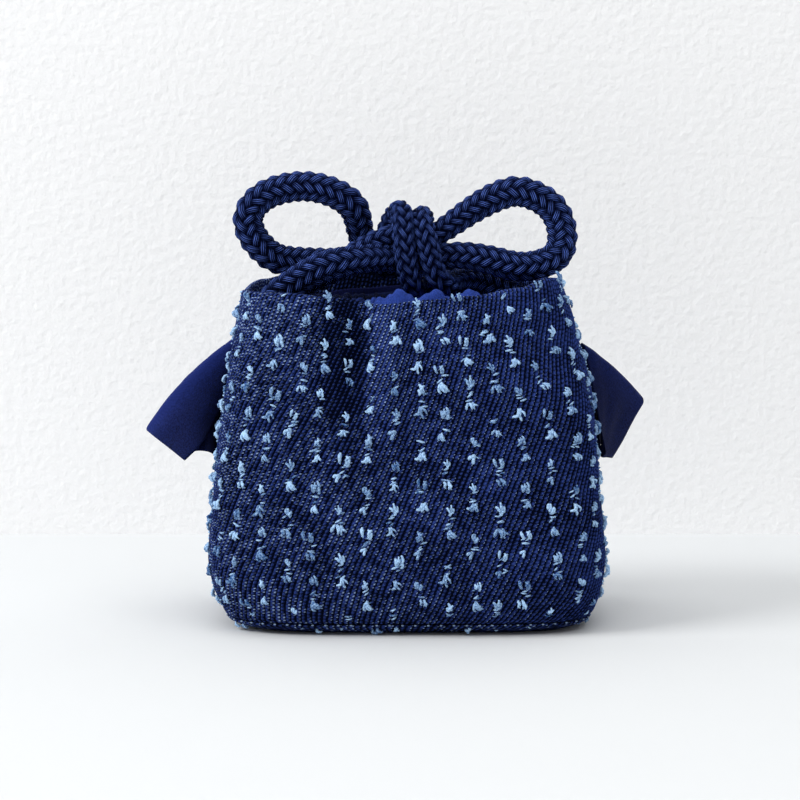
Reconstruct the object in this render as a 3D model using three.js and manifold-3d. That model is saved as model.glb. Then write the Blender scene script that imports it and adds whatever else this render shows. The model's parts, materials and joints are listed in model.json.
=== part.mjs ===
// A small kinchaku: a boxy cloth pouch whose mouth is drawn shut by one closed ring of braided cord.
//
// The denim outer is a front and a back panel joined at the side seams, over a separate bottom panel, and a
// plain cotton lining hangs inside it. A gathered cotton collar, in a front and a back half, carries the cord
// round the mouth in a tunnel. The cord comes out at the two side slits as a left and a right bight, and the
// bights are tied once over the mouth, so that their ends stand up as two loops. A folded cotton pull tab is
// caught in each side seam.
//
// Millimetres, +X to the right, +Y to the back, +Z up. The origin is on the ground, under the middle.

import * as THREE from "three";
import { mergeVertices } from "three/addons/utils/BufferGeometryUtils.js";
import Module from "manifold-3d";

const wasm = await Module();
wasm.setup();

// Driving dimensions.
const DENIM = 1.4; // thickness of the denim
const COTTON = 0.6; // thickness of the plain cotton
const GAP = 0.35; // room between two pieces that touch
const CORNER_POWER = 4.5; // how square the pouch is in plan: 2 is an ellipse
const BODY_BASE_Z = 3.2; // the seam of the bottom panel
const SLIT_HALF_Y = 9; // half the length of a side slit, across the mouth
const TUNNEL = { x: 1.5, z: 77, halfX: 31, halfY: 17, bore: 5.1, wall: 0.8 };
const MOUTH = { halfX: 22, halfY: 3.2, z: 80 }; // the gap that the gathered frill leaves
// opening: how far each layer of a pull tab swings out at the tip.
const TAB = { width: 18, layer: 1, foldRadius: 1.3, opening: 0.8 };

// Half width, half depth and sideways lean of the denim, from the ground up: [z, halfX, halfY, centreX].
const BODY_LEVELS = [
  [0, 42, 25, 3.8],
  [2, 46.7, 29.5, 3.2],
  [5.3, 48.3, 31.4, 3.2],
  [9.2, 49.8, 32.7, 3.1],
  [14.3, 50.9, 33.4, 2.8],
  [23.3, 50.8, 33.5, 2.7],
  [34.3, 50.1, 33.2, 2.7],
  [46, 49.1, 32.2, 2.8],
  [59, 47.5, 30.8, 2.9],
  [73.7, 44.3, 28.8, 2.3],
  [80.6, 42.9, 28, 2.2],
  [90, 40.2, 26.6, 1.1],
];

// Height of the rim by the direction seen from the middle, from the left side seam (0) to the right one (1).
const FRONT_RIM = [
  [0, 86.2],
  [0.12, 86.5],
  [0.23, 86.2],
  [0.31, 85],
  [0.42, 83.4],
  [0.58, 84.6],
  [0.68, 85.5],
  [0.78, 87.5],
  [0.84, 89.1],
  [1, 86.9],
];
const BACK_RIM = [
  [0, 86.2],
  [0.16, 88.4],
  [0.22, 89.5],
  [0.35, 91.4],
  [0.5, 92.2],
  [0.65, 92.4],
  [0.8, 89.2],
  [1, 86.9],
];

// A soft pleat hangs down the front from the rim, and the drawn rim ripples a little all round.
const PLEAT = { x: -9.5, halfWidth: 5, depth: 3.4, from: 44, to: 80 };
const RIPPLE = { waves: 10, depth: 0.6, from: 60, to: 84 };

// The cord's route and its radius there, [x, y, z, radius]. It is a closed ring 8 mm thick that narrows where
// the tie pinches it. Its two ends are sewn together in the middle of the back tunnel.
const CORD_SIDES = 8;
const CORD_ROUTE = [
  // back tunnel, to the left
  [0.9, 17, 77, 3.9],
  [-14, 14.7, 77, 3.9],
  [-24.8, 9, 77, 3.9],
  // out of the left slit, behind, and up into the tie
  [-29.5, 5.3, 77.8, 3.9],
  [-32, 2.6, 81.5, 3.9],
  [-28.5, 0, 85.6, 3.9],
  [-22, -1.5, 88.8, 3.9],
  [-15, -1.5, 92, 3.8],
  [-9, -0.6, 95.6, 3.5],
  [-4, 0, 98.4, 3.2],
  [2, 0, 99.5, 3.1],
  [8, 0, 98.8, 2.9],
  // the right loop
  [13.2, 0.5, 101.9, 3.1],
  [19.7, 1, 106.4, 3.6],
  [26.3, 1, 110, 4],
  [32.5, 0.8, 111.3, 4],
  [40.3, 0.3, 107.5, 4],
  [43.2, -0.5, 100.6, 4],
  [41.5, -2, 94.2, 4],
  [33, -3.5, 91.6, 4],
  [25, -3, 93.3, 3.9],
  [18.5, -2, 94.6, 3.5],
  [13, -0.8, 94.6, 3.2],
  // through the tie again and down to the left slit, in front
  [7.5, 0, 93.2, 3.1],
  [2, 0, 93.1, 3.1],
  [-3, -2.6, 93.9, 3.3],
  [-9, -7.5, 93.9, 3.8],
  [-15, -10.4, 93, 4],
  [-20.5, -11, 91.3, 4],
  [-26, -10, 87.9, 4],
  [-30.8, -8, 84.5, 4],
  [-32.6, -6.4, 80.5, 4],
  [-29.5, -7, 77.3, 3.9],
  // front tunnel, to the right
  [-24.8, -9, 77, 3.9],
  [-14, -14.7, 77, 3.9],
  [1.5, -17, 77, 3.9],
  [17, -14.7, 77, 3.9],
  [27.8, -9, 77, 3.9],
  // out of the right slit, in front, and under the tie
  [32.5, -6, 77.3, 3.9],
  [35.2, -3.6, 80.8, 3.9],
  [30.5, 1, 84.2, 3.9],
  [22, 4.9, 87.3, 3.8],
  [15.5, 3, 87.4, 3.2],
  [13.6, -1.6, 86.8, 2.8],
  // the right wrap: up the front, over the top and down the back
  [10.9, -5.5, 88.4, 2.7],
  [9.2, -6.3, 92.3, 2.65],
  [7.8, -6.2, 98.4, 2.65],
  [7, -3.8, 102.8, 2.65],
  [6.7, 0.4, 104.9, 2.65],
  [6.2, 4.8, 102.9, 2.65],
  [5.2, 7.3, 98.4, 2.65],
  [3, 8.8, 94, 2.7],
  [-0.5, 11.8, 91.2, 2.8],
  [-5, 14.4, 91.8, 3],
  // the left loop
  [-8.4, 14.2, 96, 3.3],
  [-9.9, 10.4, 101.8, 3.7],
  [-11.4, 7, 107.4, 4],
  [-17.1, 5.5, 111.2, 4],
  [-25.1, 4.5, 112.7, 4],
  [-34, 3.6, 110.6, 4],
  [-38.8, 3.2, 105.6, 4],
  [-38.2, 3.4, 100.4, 4],
  [-35, 4, 96.1, 4],
  [-31.3, 5.2, 93.5, 4],
  [-25, 6.8, 92.7, 4],
  [-15.8, 8, 92.5, 3.9],
  // the left wrap: up the back, over the top and down the front
  [-10.5, 8.3, 93, 3.5],
  [-5.4, 8.3, 95.3, 3.1],
  [-2.8, 7.4, 99.8, 2.8],
  [-1, 4.4, 104.3, 2.65],
  [1, 0, 106.4, 2.65],
  [1.5, -4, 103.7, 2.65],
  [1.9, -6.2, 98.8, 2.65],
  [2.7, -6.2, 92.6, 2.65],
  [4, -4.4, 87.6, 2.7],
  [5, 0, 85.9, 2.7],
  // under the tie and out to the right slit, behind
  [8.6, 5, 86.1, 3],
  [14, 9.7, 87.1, 3.5],
  [22, 12.6, 87.3, 3.8],
  [30.5, 9.8, 86.8, 3.9],
  [35.8, 7.2, 82.2, 3.9],
  [32.3, 6.8, 77.5, 3.9],
  // back tunnel, to the middle
  [27.8, 9, 77, 3.9],
  [17, 14.7, 77, 3.9],
  [2.1, 17, 77, 3.9],
];

// Each pull tab's folded top edge runs root, middle, tip, and its width hangs from it, twisting on the way.
// frontExtra, backExtra: how much further than the width each layer hangs, at the root and at the tip.
// front: the side of the fold that faces the front.
const TABS = {
  left: {
    root: [-43.4, 0, 73],
    middle: [-56, 0, 64],
    tip: [-65.6, -0.5, 49],
    hangAtRoot: [-0.23, 0, -0.973],
    hangAtTip: [0.675, -0.617, -0.405],
    front: -1,
    frontExtra: [0, 0],
    backExtra: [12, -5],
  },
  right: {
    root: [49.4, 0, 71.6],
    middle: [57.3, 2.5, 66.1],
    tip: [66.2, 14.5, 56.2],
    hangAtRoot: [0.25, 0, -0.968],
    hangAtTip: [-0.52, 0, -0.855],
    front: 1,
    frontExtra: [11.5, 0],
    backExtra: [8, -3],
  },
};

const DENIM_CLOTH = new THREE.MeshStandardMaterial({
  color: 0x1b2c66,
  roughness: 0.9,
});
const COTTON_CLOTH = new THREE.MeshStandardMaterial({
  color: 0x222f7c,
  roughness: 0.95,
});
const CORD_BRAID = new THREE.MeshStandardMaterial({
  color: 0x1f2d78,
  roughness: 0.85,
});

// A value read off a smooth curve through [position, value] pairs.
function valueAt(pairs, position) {
  const last = pairs.length - 1;
  let i = 1;
  while (i < last && pairs[i][0] < position) i += 1;
  const span = pairs[i][0] - pairs[i - 1][0];
  const t = THREE.MathUtils.clamp((position - pairs[i - 1][0]) / span, 0, 1);
  return THREE.MathUtils.lerp(
    pairs[i - 1][1],
    pairs[i][1],
    t * t * (3 - 2 * t),
  );
}

// Half width, half depth and centre of the denim at a height, on smooth curves through the levels.
function levelAt(z) {
  const last = BODY_LEVELS.length - 1;
  let i = 1;
  while (i < last && BODY_LEVELS[i][0] < z) i += 1;
  const below = BODY_LEVELS[i - 1];
  const above = BODY_LEVELS[i];
  const rise = above[0] - below[0];
  const t = (z - below[0]) / rise;
  const slope = (at, k) => {
    const before = BODY_LEVELS[Math.max(0, at - 1)];
    const after = BODY_LEVELS[Math.min(last, at + 1)];
    return ((after[k] - before[k]) / (after[0] - before[0])) * rise;
  };
  return [1, 2, 3].map(
    (k) =>
      below[k] * (1 + 2 * t) * (1 - t) ** 2 +
      slope(i - 1, k) * t * (1 - t) ** 2 +
      above[k] * t * t * (3 - 2 * t) +
      slope(i, k) * t * t * (t - 1),
  );
}

// A point of the pouch's plan, a rounded rectangle, in a direction seen from its middle and drawn in by `inset`.
function planPoint(angle, z, inset) {
  const [halfX, halfY, centreX] = levelAt(z);
  const c = Math.cos(angle);
  const s = Math.sin(angle);
  const reach =
    ((Math.abs(c) / (halfX - inset)) ** CORNER_POWER +
      (Math.abs(s) / (halfY - inset)) ** CORNER_POWER) **
    (-1 / CORNER_POWER);
  const x = reach * c;
  const fromPleat = (centreX + x - PLEAT.x) / PLEAT.halfWidth;
  const dent =
    s < 0
      ? PLEAT.depth *
        Math.exp(-(fromPleat ** 2)) *
        THREE.MathUtils.smoothstep(z, PLEAT.from, PLEAT.to)
      : 0;
  const ripple =
    RIPPLE.depth *
    Math.abs(s) *
    Math.sin(RIPPLE.waves * angle) *
    THREE.MathUtils.smoothstep(z, RIPPLE.from, RIPPLE.to);
  return new THREE.Vector3(
    centreX + x,
    reach * s + dent - Math.sign(s) * ripple,
    z,
  );
}

// A closed solid from two grids of points, its face and its back, joined round their edges.
function solidFromGrid(outer, inner) {
  const rows = outer.length;
  const columns = outer[0].length;
  const positions = [...outer.flat(), ...inner.flat()].flatMap((p) => [
    p.x,
    p.y,
    p.z,
  ]);
  const faces = [];
  const quad = (a, b, c, d) => faces.push(a, b, c, a, c, d);
  const out = (i, j) => i * columns + j;
  const back = (i, j) => rows * columns + i * columns + j;
  for (let i = 0; i < rows - 1; i += 1) {
    for (let j = 0; j < columns - 1; j += 1) {
      quad(out(i, j), out(i, j + 1), out(i + 1, j + 1), out(i + 1, j));
      quad(back(i, j), back(i + 1, j), back(i + 1, j + 1), back(i, j + 1));
    }
    const end = columns - 1;
    quad(out(i, 0), out(i + 1, 0), back(i + 1, 0), back(i, 0));
    quad(out(i, end), back(i, end), back(i + 1, end), out(i + 1, end));
  }
  for (let j = 0; j < columns - 1; j += 1) {
    const end = rows - 1;
    quad(out(0, j), back(0, j), back(0, j + 1), out(0, j + 1));
    quad(out(end, j), out(end, j + 1), back(end, j + 1), back(end, j));
  }
  return indexedGeometry(positions, faces);
}

function indexedGeometry(positions, faces) {
  const geometry = new THREE.BufferGeometry();
  geometry.setAttribute(
    "position",
    new THREE.Float32BufferAttribute(positions, 3),
  );
  geometry.setIndex(faces);
  return facingOut(geometry);
}

// The same closed geometry, turned round if its faces point in.
function facingOut(geometry) {
  const index = geometry.index.array;
  const position = geometry.getAttribute("position");
  const [a, b, c] = [0, 1, 2].map(() => new THREE.Vector3());
  let volume = 0;
  for (let i = 0; i < index.length; i += 3) {
    a.fromBufferAttribute(position, index[i]);
    b.fromBufferAttribute(position, index[i + 1]);
    c.fromBufferAttribute(position, index[i + 2]);
    volume += a.dot(b.cross(c));
  }
  if (volume < 0) {
    for (let i = 0; i < index.length; i += 3) {
      [index[i + 1], index[i + 2]] = [index[i + 2], index[i + 1]];
    }
  }
  return geometry;
}

// A sheet of cloth between two surfaces, each a function of u and v from 0 to 1: `surface` is its face and
// `behind` its back.
function sheet(surface, behind, columns, rows) {
  const grid = (f) =>
    Array.from({ length: rows + 1 }, (_, i) =>
      Array.from({ length: columns + 1 }, (__, j) => f(j / columns, i / rows)),
    );
  return solidFromGrid(grid(surface), grid(behind));
}

// One wall of the pouch or its lining, over half of the plan. `side` is -1 for the front and 1 for the back.
function wall(side, rim, inset, thickness, baseZ, rimDrop) {
  const seam = GAP / 2 / 42; // keeps the two halves apart at the side seams
  const at = (depth) => (u, v) => {
    const angle = side * THREE.MathUtils.lerp(Math.PI - seam, seam, u);
    // The rows lie closer together round the base, where the wall curves most.
    const z = THREE.MathUtils.lerp(baseZ, valueAt(rim, u) - rimDrop, v ** 1.5);
    return planPoint(angle, z, depth);
  };
  return sheet(at(inset), at(inset + thickness), 34, 9);
}

// A shallow dish from a stack of plan rings, each [z, inset, planZ], closed by a fan at each end.
function dish(rings) {
  const count = 44;
  const points = rings.map(([z, inset, planZ]) =>
    Array.from({ length: count }, (_, j) =>
      planPoint((j / count) * 2 * Math.PI, planZ, inset).setZ(z),
    ),
  );
  const centreX = levelAt(0)[2];
  const positions = points.flat().flatMap((p) => [p.x, p.y, p.z]);
  const first = positions.length / 3;
  positions.push(centreX, 0, rings[0][0]);
  positions.push(centreX, 0, rings[rings.length - 1][0]);
  const faces = [];
  for (let j = 0; j < count; j += 1) {
    const next = (j + 1) % count;
    faces.push(first, next, j);
    for (let i = 0; i < rings.length - 1; i += 1) {
      const [low, high] = [i * count, (i + 1) * count];
      faces.push(
        low + j,
        low + next,
        high + next,
        low + j,
        high + next,
        high + j,
      );
    }
    const top = (rings.length - 1) * count;
    faces.push(first + 1, top + j, top + next);
  }
  return indexedGeometry(positions, faces);
}

// A round or ringed section swept along points, with its radius at each point and both ends closed.
function sweptTube(points, outerRadii, innerRadii, sides) {
  const curve = new THREE.CatmullRomCurve3(points, false, "centripetal");
  const steps = points.length - 1;
  const up = new THREE.Vector3();
  const ring = (i, radius) => {
    const tangent = curve.getTangent(i / steps);
    const across = new THREE.Vector3().crossVectors(up, tangent).normalize();
    const over = new THREE.Vector3().crossVectors(tangent, across);
    return Array.from({ length: sides + 1 }, (_, j) => {
      const angle = ((j % sides) / sides) * 2 * Math.PI;
      return points[i]
        .clone()
        .addScaledVector(across, radius * Math.cos(angle))
        .addScaledVector(over, radius * Math.sin(angle));
    });
  };
  // The section is carried along without twist: `up` is what the last ring left upright.
  up.set(0, 0, 1);
  const rings = points.map((_, i) => {
    const tangent = curve.getTangent(i / steps);
    up.addScaledVector(tangent, -up.dot(tangent)).normalize();
    return [ring(i, outerRadii[i]), innerRadii ? ring(i, innerRadii[i]) : null];
  });
  return [rings.map((r) => r[0]), innerRadii ? rings.map((r) => r[1]) : null];
}

// A solid cord: a ring at each point of the route, joined in turn, with a fan over each end.
function cordSolid() {
  const points = CORD_ROUTE.map(([x, y, z]) => new THREE.Vector3(x, y, z));
  const radii = CORD_ROUTE.map((place) => place[3]);
  const [rings] = sweptTube(points, radii, null, CORD_SIDES);
  const positions = rings.flatMap((r) =>
    r.slice(0, CORD_SIDES).flatMap((p) => [p.x, p.y, p.z]),
  );
  const last = (points.length - 1) * CORD_SIDES;
  const start = positions.length / 3;
  positions.push(...points[0].toArray(), ...points.at(-1).toArray());
  const faces = [];
  for (let j = 0; j < CORD_SIDES; j += 1) {
    const next = (j + 1) % CORD_SIDES;
    faces.push(start, next, j, start + 1, last + j, last + next);
    for (let i = 0; i < points.length - 1; i += 1) {
      const [a, b] = [i * CORD_SIDES, (i + 1) * CORD_SIDES];
      faces.push(a + j, a + next, b + next, a + j, b + next, b + j);
    }
  }
  return indexedGeometry(positions, faces);
}

function toManifold(geometry) {
  const bare = geometry.clone();
  bare.deleteAttribute("normal");
  bare.deleteAttribute("uv");
  const merged = mergeVertices(bare, 1e-4);
  return new wasm.Manifold(
    new wasm.Mesh({
      numProp: 3,
      vertProperties: merged.getAttribute("position").array,
      triVerts: new Uint32Array(merged.index.array),
    }),
  );
}

function fromManifold(solid) {
  const mesh = solid.getMesh();
  return indexedGeometry(Array.from(mesh.vertProperties), [...mesh.triVerts]);
}

// A point of the oval that the tunnel follows. `side` is -1 for the front and 1 for the back, u runs left to right.
function ovalPoint(side, u, halfX, halfY, z) {
  const end = Math.asin(SLIT_HALF_Y / TUNNEL.halfY);
  const angle = side * THREE.MathUtils.lerp(Math.PI - end, end, u);
  return new THREE.Vector3(
    TUNNEL.x + halfX * Math.cos(angle),
    halfY * Math.sin(angle),
    z,
  );
}

// Half of the collar: the cord's tunnel, the skirt from it to the rim, and the frill that closes the mouth.
function collar(side, rim) {
  const { halfX, halfY, bore, wall: skin, z } = TUNNEL;
  const count = 14;
  const line = Array.from({ length: count + 1 }, (_, i) =>
    ovalPoint(side, i / count, halfX, halfY, z),
  );
  const [outer, inner] = sweptTube(
    line,
    line.map(() => bore + skin),
    line.map(() => bore),
    8,
  );
  const tunnel = toManifold(hollowTube(outer, inner));

  const rimInset = DENIM + COTTON + 3.5 * GAP;
  const end = Math.atan((SLIT_HALF_Y + 4.5) / 38);
  const rimPoint = (u, lift) => {
    const angle = side * THREE.MathUtils.lerp(Math.PI - end, end, u);
    const height =
      valueAt(rim, THREE.MathUtils.lerp(0.12, 0.88, u)) - 2.6 + lift;
    return planPoint(angle, height, rimInset);
  };
  const skirtAt = (lift) => (u, v) => {
    const from = ovalPoint(
      side,
      u,
      halfX + bore - 0.6,
      halfY + bore - 0.6,
      z + 2.4 + lift,
    );
    return from.lerp(rimPoint(u, lift), v);
  };
  const skirt = toManifold(sheet(skirtAt(COTTON), skirtAt(0), count, 2));

  const frillAt = (lift) => (u, v) => {
    const from = ovalPoint(
      side,
      u,
      halfX - bore + 0.6,
      halfY - bore + 0.6,
      z + 2.4 + lift,
    );
    const angle = side * THREE.MathUtils.lerp(Math.PI, 0, u);
    const to = new THREE.Vector3(
      TUNNEL.x + MOUTH.halfX * Math.cos(angle),
      side * MOUTH.halfY,
      MOUTH.z + lift,
    );
    return from.lerp(to, v);
  };
  const frill = toManifold(sheet(frillAt(COTTON), frillAt(0), count, 2));
  return fromManifold(tunnel.add(skirt).add(frill));
}

// A tube with a bore right through it, from its outer and inner rings.
function hollowTube(outer, inner) {
  const sides = outer[0].length - 1;
  const length = outer.length;
  const positions = [...outer, ...inner].flatMap((r) =>
    r.slice(0, sides).flatMap((p) => [p.x, p.y, p.z]),
  );
  const faces = [];
  const quad = (a, b, c, d) => faces.push(a, b, c, a, c, d);
  for (let j = 0; j < sides; j += 1) {
    const next = (j + 1) % sides;
    for (let i = 0; i < length - 1; i += 1) {
      const [a, b] = [i * sides, (i + 1) * sides];
      const [c, d] = [(length + i) * sides, (length + i + 1) * sides];
      quad(a + j, a + next, b + next, b + j);
      quad(c + j, d + j, d + next, c + next);
    }
    const [first, last] = [length * sides, (2 * length - 1) * sides];
    const far = (length - 1) * sides;
    quad(j, first + j, first + next, next);
    quad(far + j, far + next, last + next, last + j);
  }
  return indexedGeometry(positions, faces);
}

// A pull tab: a strip of cotton folded along its top edge, whose two layers part towards the tip.
function pullTab(tab) {
  const corners = [tab.root, tab.middle, tab.tip];
  const edge = new THREE.QuadraticBezierCurve3(
    ...corners.map((p) => new THREE.Vector3(...p)),
  );
  const { width, layer, foldRadius, opening } = TAB;
  const quarter = (foldRadius * Math.PI) / 2;
  const hangAt = (u) =>
    new THREE.Vector3(...tab.hangAtRoot)
      .lerp(new THREE.Vector3(...tab.hangAtTip), u)
      .normalize();
  const hung = (u, below) => edge.getPoint(u).addScaledVector(hangAt(u), below);
  const at = (depth) => (u, v) => {
    // v runs up the front layer, over the fold and down the back layer
    const front = width + THREE.MathUtils.lerp(...tab.frontExtra, u);
    const back = width + THREE.MathUtils.lerp(...tab.backExtra, u);
    const across = tab.front * THREE.MathUtils.lerp(front, -back, v);
    const side = Math.sign(across);
    const below = Math.max(0, Math.abs(across) - quarter);
    const turn = side * Math.min(Math.abs(across) / foldRadius, Math.PI / 2);
    const spread = (opening * u * below) / width;
    const hang = hangAt(u);
    const along = hung(Math.min(1, u + 0.02), below).sub(
      hung(Math.max(0, u - 0.02), below),
    );
    const outward = along.cross(hang).normalize();
    const reach = foldRadius + depth;
    return edge
      .getPoint(u)
      .addScaledVector(
        hang,
        foldRadius + layer / 2 - reach * Math.cos(turn) + below,
      )
      .addScaledVector(outward, -reach * Math.sin(turn) - side * spread);
  };
  return sheet(at(layer / 2), at(-layer / 2), 14, 14);
}

const pouch = new THREE.Group();

function addPiece(name, geometry, material) {
  const mesh = new THREE.Mesh(geometry, material);
  mesh.name = name;
  pouch.add(mesh);
}

const liningInset = DENIM + GAP;
addPiece(
  "front_panel",
  wall(-1, FRONT_RIM, 0, DENIM, BODY_BASE_Z, 0),
  DENIM_CLOTH,
);
addPiece("back_panel", wall(1, BACK_RIM, 0, DENIM, BODY_BASE_Z, 0), DENIM_CLOTH);
addPiece(
  "bottom_panel",
  dish([
    [0, 0, 0],
    [1.4, 0, 1.4],
    [BODY_BASE_Z - GAP, 0, 2.8],
    [BODY_BASE_Z - GAP, DENIM, 2.8],
    [DENIM, DENIM + 2.5, 2],
  ]),
  DENIM_CLOTH,
);
addPiece(
  "lining_front",
  wall(-1, FRONT_RIM, liningInset, COTTON, BODY_BASE_Z, 1),
  COTTON_CLOTH,
);
addPiece(
  "lining_back",
  wall(1, BACK_RIM, liningInset, COTTON, BODY_BASE_Z, 1),
  COTTON_CLOTH,
);
addPiece(
  "lining_bottom",
  dish([
    [DENIM + GAP, DENIM + 4, 2],
    [DENIM + GAP + COTTON, DENIM + 4, 2],
  ]),
  COTTON_CLOTH,
);
addPiece("collar_front", collar(-1, FRONT_RIM), COTTON_CLOTH);
addPiece("collar_back", collar(1, BACK_RIM), COTTON_CLOTH);
addPiece("drawstring", cordSolid(), CORD_BRAID);
addPiece("tab_left", pullTab(TABS.left), COTTON_CLOTH);
addPiece("tab_right", pullTab(TABS.right), COTTON_CLOTH);

export default pouch;
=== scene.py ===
"""A kinchaku, a small denim pouch tied shut with its own braided cord, built round its CAD frame."""

import json
import math

import bpy
import numpy as np
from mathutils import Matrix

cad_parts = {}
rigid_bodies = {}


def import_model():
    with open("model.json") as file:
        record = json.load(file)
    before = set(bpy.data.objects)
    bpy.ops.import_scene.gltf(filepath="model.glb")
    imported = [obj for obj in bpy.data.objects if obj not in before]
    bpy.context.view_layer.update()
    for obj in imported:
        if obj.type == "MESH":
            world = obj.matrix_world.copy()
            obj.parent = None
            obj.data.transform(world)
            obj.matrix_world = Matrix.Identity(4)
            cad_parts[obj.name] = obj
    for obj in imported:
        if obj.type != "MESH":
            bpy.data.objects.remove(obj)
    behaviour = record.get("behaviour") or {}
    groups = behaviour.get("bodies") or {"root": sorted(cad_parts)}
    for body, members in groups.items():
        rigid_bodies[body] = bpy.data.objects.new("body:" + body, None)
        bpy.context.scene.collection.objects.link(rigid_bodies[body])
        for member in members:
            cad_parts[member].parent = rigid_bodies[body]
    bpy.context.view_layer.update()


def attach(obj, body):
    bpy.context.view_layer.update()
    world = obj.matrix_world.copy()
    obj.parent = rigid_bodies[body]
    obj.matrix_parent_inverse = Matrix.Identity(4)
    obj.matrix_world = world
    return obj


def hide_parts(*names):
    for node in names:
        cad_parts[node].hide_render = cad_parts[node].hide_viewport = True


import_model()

bl_info = {
    "name": "Kinchaku drawstring pouch",
    "version": (1, 0, 0),
    "blender": (4, 5, 0),
    "location": "View3D > Sidebar > Pouch",
    "description": "Builds a small denim drawstring pouch with a braided cord, piece by piece",
    "category": "Object",
}

# ---------------------------------------------------------------- the pouch's own shape, as the CAD gives it
# Everything in this part is in millimetres. +X is right, +Y the back, +Z up.

MM = 0.001
BODY = "root"
CORNER_POWER = 4.5  # how square the pouch is in plan
BASE_Z = 3.2  # the seam of the bottom panel
SEAM_GAP = 0.35  # between two panels that meet
TUNNEL = {"x": 1.5, "z": 77.0, "half_x": 31.0, "half_y": 17.0, "bore": 5.1}
SLIT_HALF_Y = 9.0
MOUTH = {"half_x": 22.0, "half_y": 3.2, "z": 80.0}

# Height, half width, half depth and sideways lean of the denim.
BODY_LEVELS = np.array(
    [
        [0, 42, 25, 3.8],
        [2, 46.7, 29.5, 3.2],
        [5.3, 48.3, 31.4, 3.2],
        [9.2, 49.8, 32.7, 3.1],
        [14.3, 50.9, 33.4, 2.8],
        [23.3, 50.8, 33.5, 2.7],
        [34.3, 50.1, 33.2, 2.7],
        [46, 49.1, 32.2, 2.8],
        [59, 47.5, 30.8, 2.9],
        [73.7, 44.3, 28.8, 2.3],
        [80.6, 42.9, 28, 2.2],
        [90, 40.2, 26.6, 1.1],
    ]
)

# Height of the rim by direction, from the left side seam (0) to the right one (1).
RIM = {
    "front": [
        (0, 86.2),
        (0.12, 86.5),
        (0.23, 86.2),
        (0.31, 85),
        (0.42, 83.4),
        (0.58, 84.6),
        (0.68, 85.5),
        (0.78, 87.5),
        (0.84, 89.9),
        (0.93, 89.5),
        (1, 87.2),
    ],
    "back": [
        (0, 86.2),
        (0.16, 88.4),
        (0.22, 89.5),
        (0.35, 91.4),
        (0.5, 92.2),
        (0.65, 92.4),
        (0.8, 89.2),
        (1, 86.9),
    ],
}
PLEAT = {"x": -8.6, "left": 7.2, "right": 3.2, "depth": 5.8, "from": 42.0, "to": 72.0}
HEM = {"front": 1.0, "back": 6.5}  # how far below the rim the lining starts
TUNNEL_SHIFT = 2.6  # how far the pleat pushes the front tunnel inward
PLEAT_CREST = {"x": -2.2, "half_width": 3.6, "height": 1.6}  # the fold stands proud to its right
RIPPLE = {"waves": 10, "depth": 0.6, "from": 60.0, "to": 84.0}

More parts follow.
